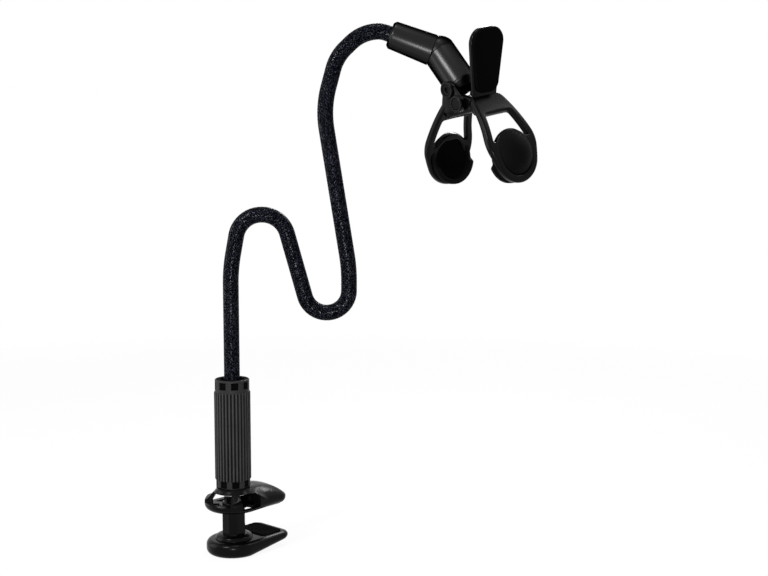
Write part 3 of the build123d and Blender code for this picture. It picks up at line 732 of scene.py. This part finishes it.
def braided_neck():
    """Sleeve: a circle carried along the neck's middle line. The radius dips by the braid's relief
    between strands: pillow = |sin p sin q| to the power 0.6, with p and q the two strand phases.
    The bore comes back along the inside with fewer rows, so that the sleeve has a wall."""
    line, reach = neck_line()
    girth = 2 * pi * NECK_RADIUS
    columns = 4 * STRANDS
    outer = np.linspace(0, reach[-1], int(reach[-1] / (girth / columns)))
    inner = np.linspace(reach[-1], 0, len(outer) // 6)
    place = np.append(outer, inner)
    flat = np.stack([np.interp(place, reach, line[:, k]) for k in (0, 1)], -1)
    ahead = np.stack([np.interp(np.minimum(place + 0.2, reach[-1]), reach, line[:, k]) for k in (0, 1)], -1)
    back = np.stack([np.interp(np.maximum(place - 0.2, 0), reach, line[:, k]) for k in (0, 1)], -1)
    along = ahead - back
    along /= np.linalg.norm(along, axis=1)[:, None]
    middle = POST_AT + flat[:, :1] * RIGHT + flat[:, 1:] * UP
    side = -along[:, 1:] * RIGHT + along[:, :1] * UP
    turn = np.arange(columns) / columns
    p = pi * STRANDS * (turn[None, :] + place[:, None] / girth)
    q = pi * STRANDS * (turn[None, :] - place[:, None] / girth)
    pillow = np.abs(np.sin(p) * np.sin(q)) ** 0.6
    radius = NECK_RADIUS - BRAID_RELIEF * (1 - pillow)
    radius[len(outer):] = NECK_BORE
    angles = 2 * pi * turn[None, :, None]
    spoke = np.cos(angles) * side[:, None] + np.sin(angles) * FRONT
    return grid_piece("neck_braid", middle[:, None] + radius[..., None] * spoke, True, place / girth)


dress(braided_neck(), BRAID, "base", "neck_sleeve")


# Handle
def ribbed_handle():
    """Grip tube whose outside dips in grooves: depth times one minus a smooth step of the distance
    from the nearest groove, with a slight crown on each rib."""
    profile = np.array(
        [
            (GRIP_BORE, GRIP_BOTTOM),
            (GRIP_RADIUS - GRIP_EDGE, GRIP_BOTTOM),
            (GRIP_RADIUS - 0.3 * GRIP_EDGE, GRIP_BOTTOM + 0.3 * GRIP_EDGE),
            (GRIP_RADIUS, GRIP_BOTTOM + GRIP_EDGE),
            (GRIP_RADIUS, GRIP_TOP - GRIP_EDGE),
            (GRIP_RADIUS - 0.3 * GRIP_EDGE, GRIP_TOP - 0.3 * GRIP_EDGE),
            (GRIP_RADIUS - GRIP_EDGE, GRIP_TOP),
            (GRIP_BORE, GRIP_TOP),
        ]
    )
    columns = RIBS * 14
    turn = np.arange(columns) / columns
    pitch = 2 * pi * GRIP_RADIUS / RIBS
    off_groove = np.abs((turn * RIBS + 0.5) % 1 - 0.5) * pitch
    wall = smooth_step((off_groove - 0.3 * RIB_GROOVE) / (0.45 * RIB_GROOVE))
    dip = RIB_DEPTH * (1 - wall) + RIB_CROWN * (1 - off_groove / (0.5 * pitch)) ** 2
    outside = profile[:, 0] > GRIP_BORE
    radius = profile[:, :1] - outside[:, None] * dip[None, :]
    grid = about_post(radius, profile[:, 1:], 2 * pi * turn)
    return grid_piece("handle_ribs", grid, True, profile[:, 1])


def threaded_screw():
    """Lead screw: the radius follows a blunt thread, a clipped triangle wave of height minus turn."""
    columns = 48
    heights = np.arange(SCREW_BOTTOM, SCREW_TOP, 0.25)
    turn = np.arange(columns) / columns
    phase = (heights[:, None] / SCREW_LEAD - turn[None, :]) % 1
    tooth = np.clip(2.4 * (0.5 - np.abs(2 * phase - 1)) + 0.5, 0, 1)
    radius = SCREW_RADIUS - THREAD_DEPTH * (1 - tooth)
    return grid_piece("lead_screw_thread", about_post(radius, heights[:, None], 2 * pi * turn))


def grooved_pad(name, face, facing):
    """Rubber pad: a section across the jaw is carried along its width. Its half length follows the
    rounded corners, and its gripping face dips in grooves by a cosine, fading out at both ends."""
    half_width = PAD_WIDTH / 2
    y = np.concatenate(
        (
            -half_width + PAD_EDGE * (1 - np.cos(np.linspace(0, pi / 2, 5))),
            np.linspace(0.8 - half_width, half_width - 0.8, 180),
            half_width - PAD_EDGE * (1 - np.cos(np.linspace(pi / 2, 0, 5))),
        )
    )
    past = np.clip(np.abs(y) - (half_width - PAD_CORNER), 0, PAD_CORNER)
    half_length = PAD_LENGTH / 2 - PAD_CORNER + np.sqrt(PAD_CORNER ** 2 - past ** 2)
    near_end = np.clip((half_width - np.abs(y)) / PAD_EDGE, 0, 1)
    end_drop = PAD_EDGE * (1 - np.sqrt(1 - (1 - near_end) ** 2))
    fade = np.clip(half_width - np.abs(y) - PAD_GROOVE_END, 0, 1)
    groove = PAD_GROOVE_DEPTH * (0.5 - 0.5 * np.cos(2 * pi * y / PAD_GROOVE_PITCH)) ** 3 * fade
    corner = 0.3 * PAD_EDGE
    section = [(-1, 0, -PAD_THICK), (-1, 0, -PAD_EDGE), (-1, corner, -corner), (-1, PAD_EDGE, 0)]
    section = np.array(section + [(-1, PAD_BORDER - 0.4, 0), (-1, PAD_BORDER, -0.02)])
    mirrored = section[::-1] * np.array((-1, 1, 1))
    section = np.vstack((section, mirrored))
    top = section[:, 2] > -0.1
    cut = np.where(np.abs(section[:, 1] - PAD_BORDER) < 0.1, 1.0, 0.0)
    x = section[None, :, 0] * (half_length[:, None] - section[None, :, 1])
    z = section[None, :, 2] - top[None, :] * end_drop[:, None] - cut[None, :] * groove[:, None]
    grid = np.stack((x, np.broadcast_to(y[:, None], x.shape), face + facing * z), -1)
    return grid_piece(name, grid)


def notched_ring(name, outline, notch_low):
    """Collar turned about the post, with notches round it: outside points between two heights move in
    by the notch's depth where their distance round from a notch's middle is under half its width."""
    profile = np.asarray(outline, float)
    columns = NOTCHES * 40
    turn = 2 * pi * np.arange(columns) / columns
    off_middle = np.abs(((turn - NOTCH_PHASE) * NOTCHES / (2 * pi) + 0.5) % 1 - 0.5)
    away = off_middle * 2 * pi * COLLAR_RADIUS / NOTCHES
    across = 1 - smooth_step((away - (NOTCH_WIDTH - NOTCH_BLEND) / 2) / NOTCH_BLEND)
    notched = (profile[:, 0] > COLLAR_RADIUS - 0.5) & (profile[:, 1] > notch_low - 0.01)
    notched &= profile[:, 1] < notch_low + NOTCH_HEIGHT + 0.01
    radius = profile[:, :1] - NOTCH_DEPTH * notched[:, None] * across[None, :]
    return shells_piece(name, [(about_post(radius, profile[:, 1:], turn), True)])


def top_ring():
    """Top collar: outside with its notch, sloping rim and the recess round the neck."""
    outer = GRIP_RADIUS - COLLAR_STEP
    notch = HANDLE_TOP - 2.5 * COLLAR_STEP - NOTCH_HEIGHT
    recess = HANDLE_TOP - NECK_RECESS_DEPTH
    outline = [(outer - 1.4, GRIP_TOP - 1.5), (outer, GRIP_TOP - 0.5)]
    outline += [(outer, notch - NOTCH_LIP), (outer, notch), (outer, notch + NOTCH_HEIGHT)]
    outline += [(outer, notch + NOTCH_HEIGHT + NOTCH_LIP), (outer, HANDLE_TOP - COLLAR_STEP)]
    outline += [(outer - 0.3, HANDLE_TOP - 0.3), (outer - COLLAR_STEP, HANDLE_TOP)]
    outline += [(NECK_RECESS + 0.4, HANDLE_TOP), (NECK_RECESS, HANDLE_TOP - 0.4), (NECK_RECESS, recess)]
    outline += [(NECK_PASS, recess - COLLAR_STEP), (NECK_PASS, GRIP_TOP - 1.5)]
    return notched_ring("top_collar_notched", outline, notch)


def bottom_ring():
    """Bottom collar: plain ring with its notch just above the washer."""
    notch = HANDLE_BOTTOM + 0.5
    top = GRIP_BOTTOM + 0.2
    outline = [(GRIP_BORE, HANDLE_BOTTOM), (COLLAR_RADIUS - 0.4, HANDLE_BOTTOM)]
    outline += [(COLLAR_RADIUS, notch - NOTCH_LIP), (COLLAR_RADIUS, notch)]
    outline += [(COLLAR_RADIUS, notch + NOTCH_HEIGHT - 0.9), (COLLAR_RADIUS, top - 0.3)]
    outline += [(COLLAR_RADIUS, top), (GRIP_BORE, top)]
    return notched_ring("bottom_collar_notched", outline, notch)


dress(ribbed_handle(), GRIP, "handle", "handle_grip")
dress(top_ring(), COLLAR, "handle", "handle_top_collar")
dress(bottom_ring(), COLLAR, "handle", "handle_bottom_collar")
dress(threaded_screw(), BLACKENED, "base", "lead_screw")
dress(grooved_pad("foot_pad_grooved", 0.0, 1), RUBBER, "base", "foot_pad")
dress(grooved_pad("upper_pad_grooved", GAP, -1), RUBBER, "clamp_jaw", "upper_jaw_pad")


# Ferrule and second tube
def ferrule_profile():
    """Outside, rim and dished mouth of the ferrule, then its stepped bore."""
    neck_seat = NECK_RADIUS + SEATED
    dish = np.linspace(DISH_OUTER, DISH_INNER, 9)
    mouth = np.stack((DISH_RADIUS * np.sin(dish), BALL_REACH - DISH_RADIUS * np.cos(dish)), -1)
    corners = [(neck_seat, 0.0), (FERRULE_BACK_RADIUS, 0.0), (FERRULE_START_RADIUS, FERRULE_CHAMFER)]
    corners += [(FERRULE_RIM_RADIUS, FERRULE_RIM), mouth[0]]
    outside = rounded(corners, [0.6, 2.0, 0.3], radians(10))
    bore = [(STUD_BORE, mouth[-1, 1]), (STUD_BORE, FERRULE_BORE_DEPTH), (neck_seat, FERRULE_BORE_DEPTH)]
    return np.vstack((outside, mouth[1:], bore))


def tube_profile():
    """Spigot, outside and rounded end of the second tube, then its bore."""
    outside = rounded(
        [
            (SEAT_BORE, LIP_END),
            (TUBE_SPIGOT, LIP_END),
            (TUBE_SPIGOT, RING_END),
            (TUBE_RADIUS, RING_END),
            (TUBE_RADIUS, TUBE_LENGTH - TUBE_END_CHAMFER),
            (TUBE_RADIUS - TUBE_END_CHAMFER, TUBE_LENGTH),
            (TUBE_CORE, TUBE_LENGTH),
        ],
        [0.2, 0.05, 0.5, 4.0, 1.5],
        radians(10),
    )
    return np.vstack((outside, [(TUBE_CORE, BORE_END), (SEAT_BORE, BORE_END)]))


ferrule = turned("ferrule_turned", ferrule_profile(), FERRULE_START, FERRULE_AXIS)
dress(ferrule, ANODISED, "base", "head_ferrule")
tube = turned("tube_turned", tube_profile(), BALL_CENTRE, TUBE_AXIS)
dress(tube, ANODISED, "holder", "socket_tube")


# Clip spring
def clip_coil():
    """Torsion spring: a straight leg, a helix about the pivot and a second straight leg."""
    turns = np.linspace(0, 2 * pi * SPRING_TURNS, 40 * SPRING_TURNS)
    half = SPRING_PITCH * SPRING_TURNS / 2
    height = np.linspace(-half, half, len(turns))
    up = SPRING_RADIUS * np.cos(turns)
    across = SPRING_RADIUS * np.sin(turns)
    coil = np.stack((across, height, up), -1)
    fixed = np.linspace(coil[0] - (SPRING_LEG_FIXED, 0, 0), coil[0], 12)[:-1]
    moving = np.linspace(coil[-1], coil[-1] + (SPRING_LEG_MOVING, 0, 0), 12)[1:]
    return carried("clip_coil", in_clip(np.vstack((fixed, coil, moving))), SPRING_WIRE)


coil = dress(clip_coil(), STEEL, None, "clip_spring")
coil_reach = 0.5 * SPRING_PITCH * SPRING_TURNS * PIVOT_AXIS
(PIVOT_CENTRE - coil_reach) * MM
(PIVOT_CENTRE + coil_reach) * MM
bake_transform(coil)


# Clip jaws
def reach(discs, centre, rays):
    """Distance from a point inside a hull of discs to its edge along each ray: the least, over all
    directions, of the hull's reach that way divided by the ray's share of it."""
    discs = np.asarray(discs, float)
    _, ways = compass(720)
    limit = np.max(ways @ discs[:, :2].T + discs[:, 2], axis=1) - ways @ centre
    share = rays @ ways.T
    return np.where(share > 1e-4, limit / np.maximum(share, 1e-4), np.inf).min(axis=1)


def arm_bow():
    """Centre and radius of the circle through the three points of an arm's bow."""
    points = np.array(ARM_POINTS)
    system = np.insert(2 * points, 2, 1, axis=1)
    x, z, rest = np.linalg.solve(system, (points ** 2).sum(axis=1))
    return x, z, np.sqrt(rest + x * x + z * z)


def band_section(thick, edge, steps=8):
    """Rounded rectangle section of a band: each point is at start plus share times the band's width,
    and at a height above its middle."""
    turn = np.linspace(0, pi / 2, 6)
    along = np.linspace(0, 1, steps)[1:-1]
    half = thick / 2
    starts = (edge * (1 - np.cos(turn)), edge - 2 * edge * along, edge * (np.sin(turn) - 1))
    shares = (0 * turn, along, 0 * turn + 1)
    heights = (half - edge * (1 - np.sin(turn)), 0 * along + half, half - edge * (1 - np.cos(turn)))
    start = np.concatenate(starts)
    share = np.concatenate(shares)
    height = np.concatenate(heights)
    return np.append(start, start[::-1]), np.append(share, share[::-1]), np.append(height, -height[::-1])


def bowed_band(centre, rays, outer, inner, thick, edge):
    """Closed band between two outlines round a point, carried on the arm's bow: across = bow plus
    height along the bow's normal. Gives a grid in the clip's frame."""
    start, share, height = band_section(thick, edge)
    inward = start[None, :] + share[None, :] * (outer - inner)[:, None]
    distance = outer[:, None] - inward
    y = centre[0] + distance * rays[:, :1]
    z = centre[1] + distance * rays[:, 1:]
    bow_x, bow_z, bow_radius = arm_bow()
    normal_z = (z - bow_z) / bow_radius
    normal_x = np.sqrt(1 - normal_z ** 2)
    x = bow_x + (bow_radius + height[None, :]) * normal_x
    return np.stack((x, y, bow_z + (bow_radius + height[None, :]) * normal_z), -1)


def arm_frame():
    """Two legs and the bar over them: a band round the window, whose edge is the nearest of the
    legs, the bar and the cup's disc, with its corners smoothed by a running mean."""
    _, rays = compass(288)
    centre = np.array((0.0, WINDOW_MIDDLE))
    legs = reach(np.array(ARM_DISCS) - (0, 0, LEG_WIDTH), centre, rays)
    bar = np.where(rays[:, 1] > 0.02, (ARM_BAR - centre[1]) / np.maximum(rays[:, 1], 0.02), np.inf)
    drop = centre[1] - CUP_Z
    under = (drop * rays[:, 1]) ** 2 - drop ** 2 + CUP_DISC ** 2
    meets = (under > 0) & (rays[:, 1] < 0)
    disc = np.where(meets, -drop * rays[:, 1] - np.sqrt(np.maximum(under, 0)), np.inf)
    inner = np.minimum(np.minimum(legs, bar), disc)
    kernel = np.hanning(15)
    wrapped = np.concatenate((inner[-7:], inner, inner[:7]))
    inner = np.convolve(wrapped, kernel / kernel.sum(), "valid")
    outer = reach(ARM_DISCS, centre, rays)
    outer = np.where(meets, np.minimum(outer, inner + CUP_STRIP), outer)
    return bowed_band(centre, rays, outer, inner, ARM_THICK, ARM_EDGE)


def cup_band():
    """Band of the arm round its cup, narrow where the window is and out to the arm's edge below."""
    angles, rays = compass(192)
    centre = np.array((0.0, CUP_Z))
    edge = reach(ARM_DISCS, centre, rays)
    off_top = np.abs((angles - pi / 2 + pi) % (2 * pi) - pi)
    below = smooth_step((off_top - WINDOW_SPREAD) / WINDOW_FADE)
    outer = CUP_BAND_OUTER + (np.minimum(edge, CUP_BAND_LIMIT) - CUP_BAND_OUTER) * below
    return bowed_band(centre, rays, outer, 0 * outer + CUP_BAND_INNER, ARM_THICK - 0.1, ARM_EDGE)


def cup_bowl():
    """Bowl turned about the cup's axis: outer sphere, rim and inner sphere. Over its lower half the
    rim grows into a lip: each row of edge is a radius, a step out and a step down."""
    turn, _ = compass(128)
    lip = LIP_LEAST + (1 - LIP_LEAST) * smooth_step((-LIP_RADIUS * np.sin(turn) - LIP_FROM) / LIP_FADE)
    middle = CUP_CROWN - CUP_SPHERE
    inside = CUP_SPHERE - CUP_WALL
    rim = CUP_RIM - middle
    rim_out = np.sqrt(CUP_SPHERE ** 2 - rim ** 2)
    rim_in = np.sqrt(inside ** 2 - rim ** 2)
    out_turn = np.linspace(CUP_POLE, np.arccos(rim / CUP_SPHERE), 18)
    in_turn = np.linspace(np.arccos(rim / inside), CUP_POLE, 16)
    outer = np.stack((CUP_SPHERE * np.sin(out_turn), middle + CUP_SPHERE * np.cos(out_turn)), -1)
    inner = np.stack((inside * np.sin(in_turn), middle + inside * np.cos(in_turn)), -1)
    edge = [(rim_out, 1.2, -0.3), (rim_out, 1.2, -3.2), (rim_out, 0.6, -4.0), (rim_out, 0, -4.2)]
    edge += [(rim_in, 1.0, -4.2), (rim_in, 0.3, -4.0), (rim_in, 0, -3.4)]
    edge = np.array(edge)
    lip_radius = edge[:, :1] + edge[:, 1:2] * lip
    lip_height = CUP_RIM + edge[:, 2:] * lip
    radius = np.vstack((outer[:, :1] + 0 * lip, lip_radius, inner[:, :1] + 0 * lip))
    height = np.vstack((outer[:, 1:] + 0 * lip, lip_height, inner[:, 1:] + 0 * lip))
    return np.stack((CUP_X + height, radius * np.cos(turn), CUP_Z + radius * np.sin(turn)), -1)


def side_slab(discs, low, high, edge=0.8):
    """Slab whose outline is (across, up) and whose thickness runs along the pivot."""
    return slab(discs, min(low, high), max(low, high), edge)[..., [0, 2, 1]]


def barrel(x, z, side):
    """Turned boss on a jaw's ear, with a sunk seat for a bolt head."""
    profile = rounded_ring(
        [
            (PIN_BORE, EAR_INNER),
            (BARREL_RADIUS, EAR_INNER),
            (BARREL_RADIUS, BARREL_END),
            (BOLT_SEAT_RADIUS, BARREL_END),
            (BOLT_SEAT_RADIUS, BARREL_END - BOLT_SEAT_DEPTH),
            (PIN_BORE, BARREL_END - BOLT_SEAT_DEPTH),
        ],
        [0.1, 0.4, 0.9, 0.4, 0.1, 0.1],
    )
    turn, _ = compass(64)
    across = x + profile[:, :1] * np.cos(turn)
    up = z + profile[:, :1] * np.sin(turn)
    return np.stack((across, side * profile[:, 1:] + 0 * turn, up), -1)


def paddle_discs(low, foot_corner):
    """Discs of the paddle's outline from a lower height, with corners there, to its rounded tip."""
    wide = PADDLE_HALF - PADDLE_CORNER
    narrow = PADDLE_FOOT_HALF - foot_corner
    high = PADDLE_TOP - PADDLE_CORNER
    foot = low + foot_corner
    return (
        (-narrow, foot, foot_corner),
        (narrow, foot, foot_corner),
        (-wide, high, PADDLE_CORNER),
        (wide, high, PADDLE_CORNER),
    )


def on_paddle(points):
    """Points (sideways, up the paddle, out of its face) in the clip's frame."""
    upwards = (sin(PADDLE_LEAN), 0, cos(PADDLE_LEAN))
    outwards = (cos(PADDLE_LEAN), 0, -sin(PADDLE_LEAN))
    return np.array((PADDLE_AT[0], 0, PADDLE_AT[1])) + points @ np.array(((0, 1, 0), upwards, outwards))


def wishbone(side):
    """Arm and cup band of one jaw; side is 1 for the moving jaw and -1 for the fixed one."""
    flip = np.array((side, 1, 1))
    return [(arm_frame() * flip, True), (cup_band() * flip, True)]


def cup_piece(name, side):
    """Bowl of one jaw's cup."""
    return shells_piece(name, [(in_clip(cup_bowl() * np.array((side, 1, 1))), False)])


def moving_moulding():
    """Moving jaw: wishbone, hub, two lugs on the pin and the finger paddle."""
    shells = wishbone(1)
    shells.append((side_slab(HUB_DISCS, -LUG_OUTER, LUG_OUTER), False))
    for side in (1, -1):
        shells.append((side_slab(LUG_DISCS, side * LUG_INNER, side * LUG_OUTER), False))
    outline = paddle_discs(PADDLE_FOOT, PADDLE_FOOT_CORNER)
    plate = slab(outline, -PADDLE_THICK / 2, PADDLE_THICK / 2, PADDLE_EDGE)
    shells.append((on_paddle(plate), False))
    return shells_piece("moving_jaw_moulding", [(in_clip(grid), closed) for grid, closed in shells])


def fixed_moulding():
    """Fixed jaw: mirrored wishbone, hub, two ears and four barrels."""
    shells = wishbone(-1)
    cross_x = -sin(TUBE_LEAN) * CROSS_GAP
    cross_z = cos(TUBE_LEAN) * CROSS_GAP
    hub_end = EAR_INNER + 1
    hub = [(-x, z, radius) for x, z, radius in HUB_DISCS]
    shells.append((side_slab(hub, -hub_end, hub_end), False))
    ear = ((cross_x, cross_z, EAR_RADIUS), (0.0, 0.0, EAR_RADIUS), EAR_ROOT)
    for side in (1, -1):
        shells.append((side_slab(ear, side * EAR_INNER, side * EAR_OUTER), False))
        shells.append((barrel(cross_x, cross_z, side), True))
        shells.append((barrel(0.0, 0.0, side), True))
    return shells_piece("fixed_jaw_moulding", [(in_clip(grid), closed) for grid, closed in shells])


def paddle_cushion():
    """Rubber face of the paddle, with a wide soft edge."""
    front = PADDLE_THICK / 2
    outline = paddle_discs(CUSHION_FOOT, CUSHION_CORNER)
    face = slab(outline, front - CUSHION_SINK, front + PADDLE_PAD, CUSHION_EDGE)
    return shells_piece("paddle_cushion", [(in_clip(on_paddle(face)), False)])


dress(moving_moulding(), SATIN, "moving_jaw", "moving_jaw")
dress(fixed_moulding(), SATIN, "holder", "fixed_jaw")
dress(cup_piece("moving_cup", 1), DULL, "moving_jaw", "moving_jaw")
dress(cup_piece("fixed_cup", -1), DULL, "holder", "fixed_jaw")
dress(paddle_cushion(), RUBBER, "moving_jaw", "paddle_pad")


# Foot
def foot_casting():
    """Foot: a slab whose underside rises towards the tip, with a boss turned round the post."""
    corner = (FOOT_REACH - FOOT_CORNER, FOOT_HALF_WIDTH - FOOT_CORNER, FOOT_CORNER)
    discs = ((0.0, 0.0, FOOT_HEEL), corner, (corner[0], -corner[1], FOOT_CORNER))
    turn = np.linspace(0, pi / 2, 8)
    insets = FOOT_EDGE * np.append(1 - np.sin(turn), 1 - np.cos(turn))
    rings = np.stack([hull(discs, inset, 240) for inset in insets])
    slope = FOOT_TIP_RISE / (FOOT_REACH - FOOT_RISE_FROM)
    under = FOOT_BOTTOM + slope * np.maximum(rings[..., 0] - FOOT_RISE_FROM, 0)
    edge = np.minimum(FOOT_EDGE, (FOOT_TOP - under) / 2)
    rows = len(turn)
    low = under[:rows] + edge[:rows] * (1 - np.cos(turn))[:, None]
    high = FOOT_TOP - edge[rows:] * (1 - np.sin(turn))[:, None]
    grid = np.concatenate((rings, np.vstack((low, high))[..., None]), -1)
    corners = [(BOSS_FOOT_RADIUS, FOOT_TOP - 1.0), (BOSS_FOOT_RADIUS, FOOT_TOP + 0.6), BOSS_SHOULDER]
    boss = rounded(corners + [(BOSS_TOP_RADIUS, BOSS_TOP), (BOSS_BORE, BOSS_TOP)], [0.3, 2.4, 2.0])
    ring = about_post(boss[:, :1], boss[:, 1:], compass(128)[0])
    return shells_piece("foot_casting", [(POST_AT + grid, False), (ring, False)])


dress(foot_casting(), GLOSS, "base", "foot_plate")


# Upper jaw
def pillow(mesh):
    """Draws the jaw's tall front wall down into a pillow. The height above its plate is multiplied by
    a quarter ellipse of the distance from the outline, which fades in ahead of the cage. Cuts beside
    the outline come first, close together near it, so that the new surface is smooth."""
    corner = (JAW_REACH - FOOT_CORNER, FOOT_HALF_WIDTH - FOOT_CORNER, FOOT_CORNER)
    discs = np.array(((0.0, 0.0, JAW_HEEL), corner, (corner[0], -corner[1], FOOT_CORNER)))
    planes = []
    for angle in np.radians(PILLOW_WAYS):
        way = np.array((cos(angle), sin(angle), 0.0))
        edge = np.max(discs[:, :2] @ way[:2] + discs[:, 2])
        for inset in PILLOW_CUTS:
            planes.append(((POST_AT + (edge - inset) * way) * MM, way))
    merged(mesh, 2e-6, planes)
    points = np.zeros(3 * len(mesh.vertices))
    mesh.vertices.foreach_get("co", points)
    points = points.reshape(-1, 3) / MM
    _, ways = compass(240)
    limit = np.max(ways @ discs[:, :2].T + discs[:, 2], axis=1)
    spot = points[:, :2] - POST_AT[:2]
    inside = np.clip((limit - spot @ ways.T).min(axis=1) / PILLOW_EDGE, 0, 1)
    share = smooth_step((spot[:, 0] - PILLOW_FROM) / PILLOW_FADE)
    kept = 1 - share * (1 - np.sqrt(1 - (1 - inside) ** 2))
    above = points[:, 2] > JAW_PLATE_TOP
    points[above, 2] = (JAW_PLATE_TOP + (points[:, 2] - JAW_PLATE_TOP) * kept)[above]
    mesh.vertices.foreach_set("co", (points * MM).ravel())
    merged(mesh, 2e-5)


dress(softened("upper_jaw", 0.7, reshape=pillow), GLOSS, "clamp_jaw", "upper_jaw")

# Mouldings and small metal, rounded at their edges
for node, width, material, body in (
    ("post", 0.5, GLOSS, "base"),
    ("post_screw", 0.25, STEEL, "base"),
    ("thrust_washer", 0.2, BLACKENED, "clamp_jaw"),
    ("seat_ring", 0.3, BLACKENED, "ball_seat"),
    ("cross_bolt", 0.3, BLACKENED, "holder"),
    ("cross_nut", 0.3, BLACKENED, "holder"),
    ("pivot_pin", 0.4, BLACKENED, "holder"),
    ("pin_clip", 0.2, BLACKENED, "holder"),
):
    dress(softened(node, width), material, body, node)

# Solids shown as they are
for node, material in (
    ("neck_crimp", BLACKENED),
    ("neck_core", CORE),
    ("handle_nut", BRASS),
    ("handle_ring", STEEL),
    ("ball_stud", STEEL),
    ("stud_clip", STEEL),
    ("ball_seat", RUBBER),
    ("seat_spring", STEEL),
    ("fixed_jaw_pad", RUBBER),
    ("moving_jaw_pad", RUBBER),
):
    nodes[node].data.materials.clear()
    nodes[node].data.materials.append(material)

# Stage
EYE = np.array((-756.2, -839.6, 347.3))
LOOK = unit(np.array((0.7391, 0.6655, -0.1045)))
LENS = 57.0
FLOOR_Z = -14.5
FLOOR_RADIUS = 6000.0
FLOOR_SIDES = 64
CENTRE = np.array((40.0, -80.0, 230.0))
VIEW_UP = np.cross(RIGHT, LOOK)


def bright_backdrop(finish, strength):
    """Strength for rays from the camera, in reflections and through clear parts, and nought for others."""
    ray = finish.node("ShaderNodeLightPath", {}, {}, "Is Camera Ray")
    gloss = finish.node("ShaderNodeLightPath", {}, {}, "Is Glossy Ray")
    clear = finish.node("ShaderNodeLightPath", {}, {}, "Is Transmission Ray")
    return strength * (ray.maths("MAXIMUM", ray.maths("MAXIMUM", ray, gloss), clear))


def floor_finish():
    """Pale floor: mostly white to the camera, with a share of lit white that keeps the shadow and
    fades out with the square of the distance, so that the floor meets the surroundings unseen."""
    finish = Finish("floor")
    away = finish.node("ShaderNodeVectorMath", {"operation": "LENGTH"}, {0: finish.place()}, "Value")
    fade = away.maths("MINIMUM", (away * 0.7) ** 2.0, 1.0)
    seen = bright_backdrop(finish, 0.92 + 0.08 * fade)
    lit = finish.node("ShaderNodeBsdfDiffuse", {}, {"Color": grey(0.95)}, 0)
    white = finish.node("ShaderNodeEmission", {}, {"Color": grey(1.0), "Strength": 1.0}, 0)
    finish.node_output(finish.node("ShaderNodeMixShader", {}, {0: seen, 1: lit, 2: white}, 0))
    return finish.material


def add_floor():
    """Wide round floor under the clamp's foot."""
    _, ways = compass(FLOOR_SIDES)
    rim = np.insert(FLOOR_RADIUS * ways, 2, FLOOR_Z, axis=1)
    mesh = bpy.data.meshes.new("floor")
    mesh.from_pydata((rim * MM).tolist(), [], [list(range(FLOOR_SIDES))])
    mesh.materials.append(floor_finish())
    linked("floor", mesh)


def add_lamp(name, sideways, upwards, nearer, size, watts):
    """Oblong soft lamp, placed from the middle of the object as the camera sees it, facing it."""
    lamp = bpy.data.lights.new(name, "AREA")
    lamp.shape = "RECTANGLE"
    lamp.size = size[0]
    lamp.size_y = size[1]
    lamp.energy = watts
    holder = linked(name, lamp)
    offset = sideways * RIGHT + upwards * VIEW_UP - nearer * LOOK
    holder.location = Vector((CENTRE + offset) * MM)
    holder.rotation_euler = Vector(-offset).to_track_quat("-Z", "Y").to_euler()


def add_world():
    """White surroundings: full to the camera and to reflections, softer as light."""
    world = bpy.data.worlds.new("surroundings")
    world.use_nodes = True
    bpy.context.scene.world = world
    finish = Finish("surroundings", world.node_tree)
    strength = 0.12 + bright_backdrop(finish, 0.88)
    shader = finish.node("ShaderNodeBackground", {}, {"Color": grey(1.0), "Strength": strength}, 0)
    finish.node_output(shader, "ShaderNodeOutputWorld")


add_floor()
add_world()
add_lamp("key_lamp", -510, 510, 620, (0.22, 0.22), 6.2)
add_lamp("front_lamp", -60, -140, 840, (0.16, 0.16), 3.8)
add_lamp("left_lamp", -1050, 100, -50, (0.6, 1.0), 5.4)
add_lamp("top_lamp", 0, 1050, 250, (0.25, 0.25), 3.4)
add_lamp("back_lamp", 250, 750, -750, (0.5, 0.25), 7.0)
add_lamp("right_lamp", 750, 780, -150, (0.35, 0.35), 1.7)

eye = bpy.data.cameras.new("camera")
eye.lens = LENS
eye.sensor_width = 36.0
camera = linked("camera", eye)
camera.location = Vector(EYE * MM)
camera.rotation_euler = Vector(LOOK).to_track_quat("-Z", "Y").to_euler()
bpy.context.scene.camera = camera
bpy.context.scene.view_settings.view_transform = "Standard"
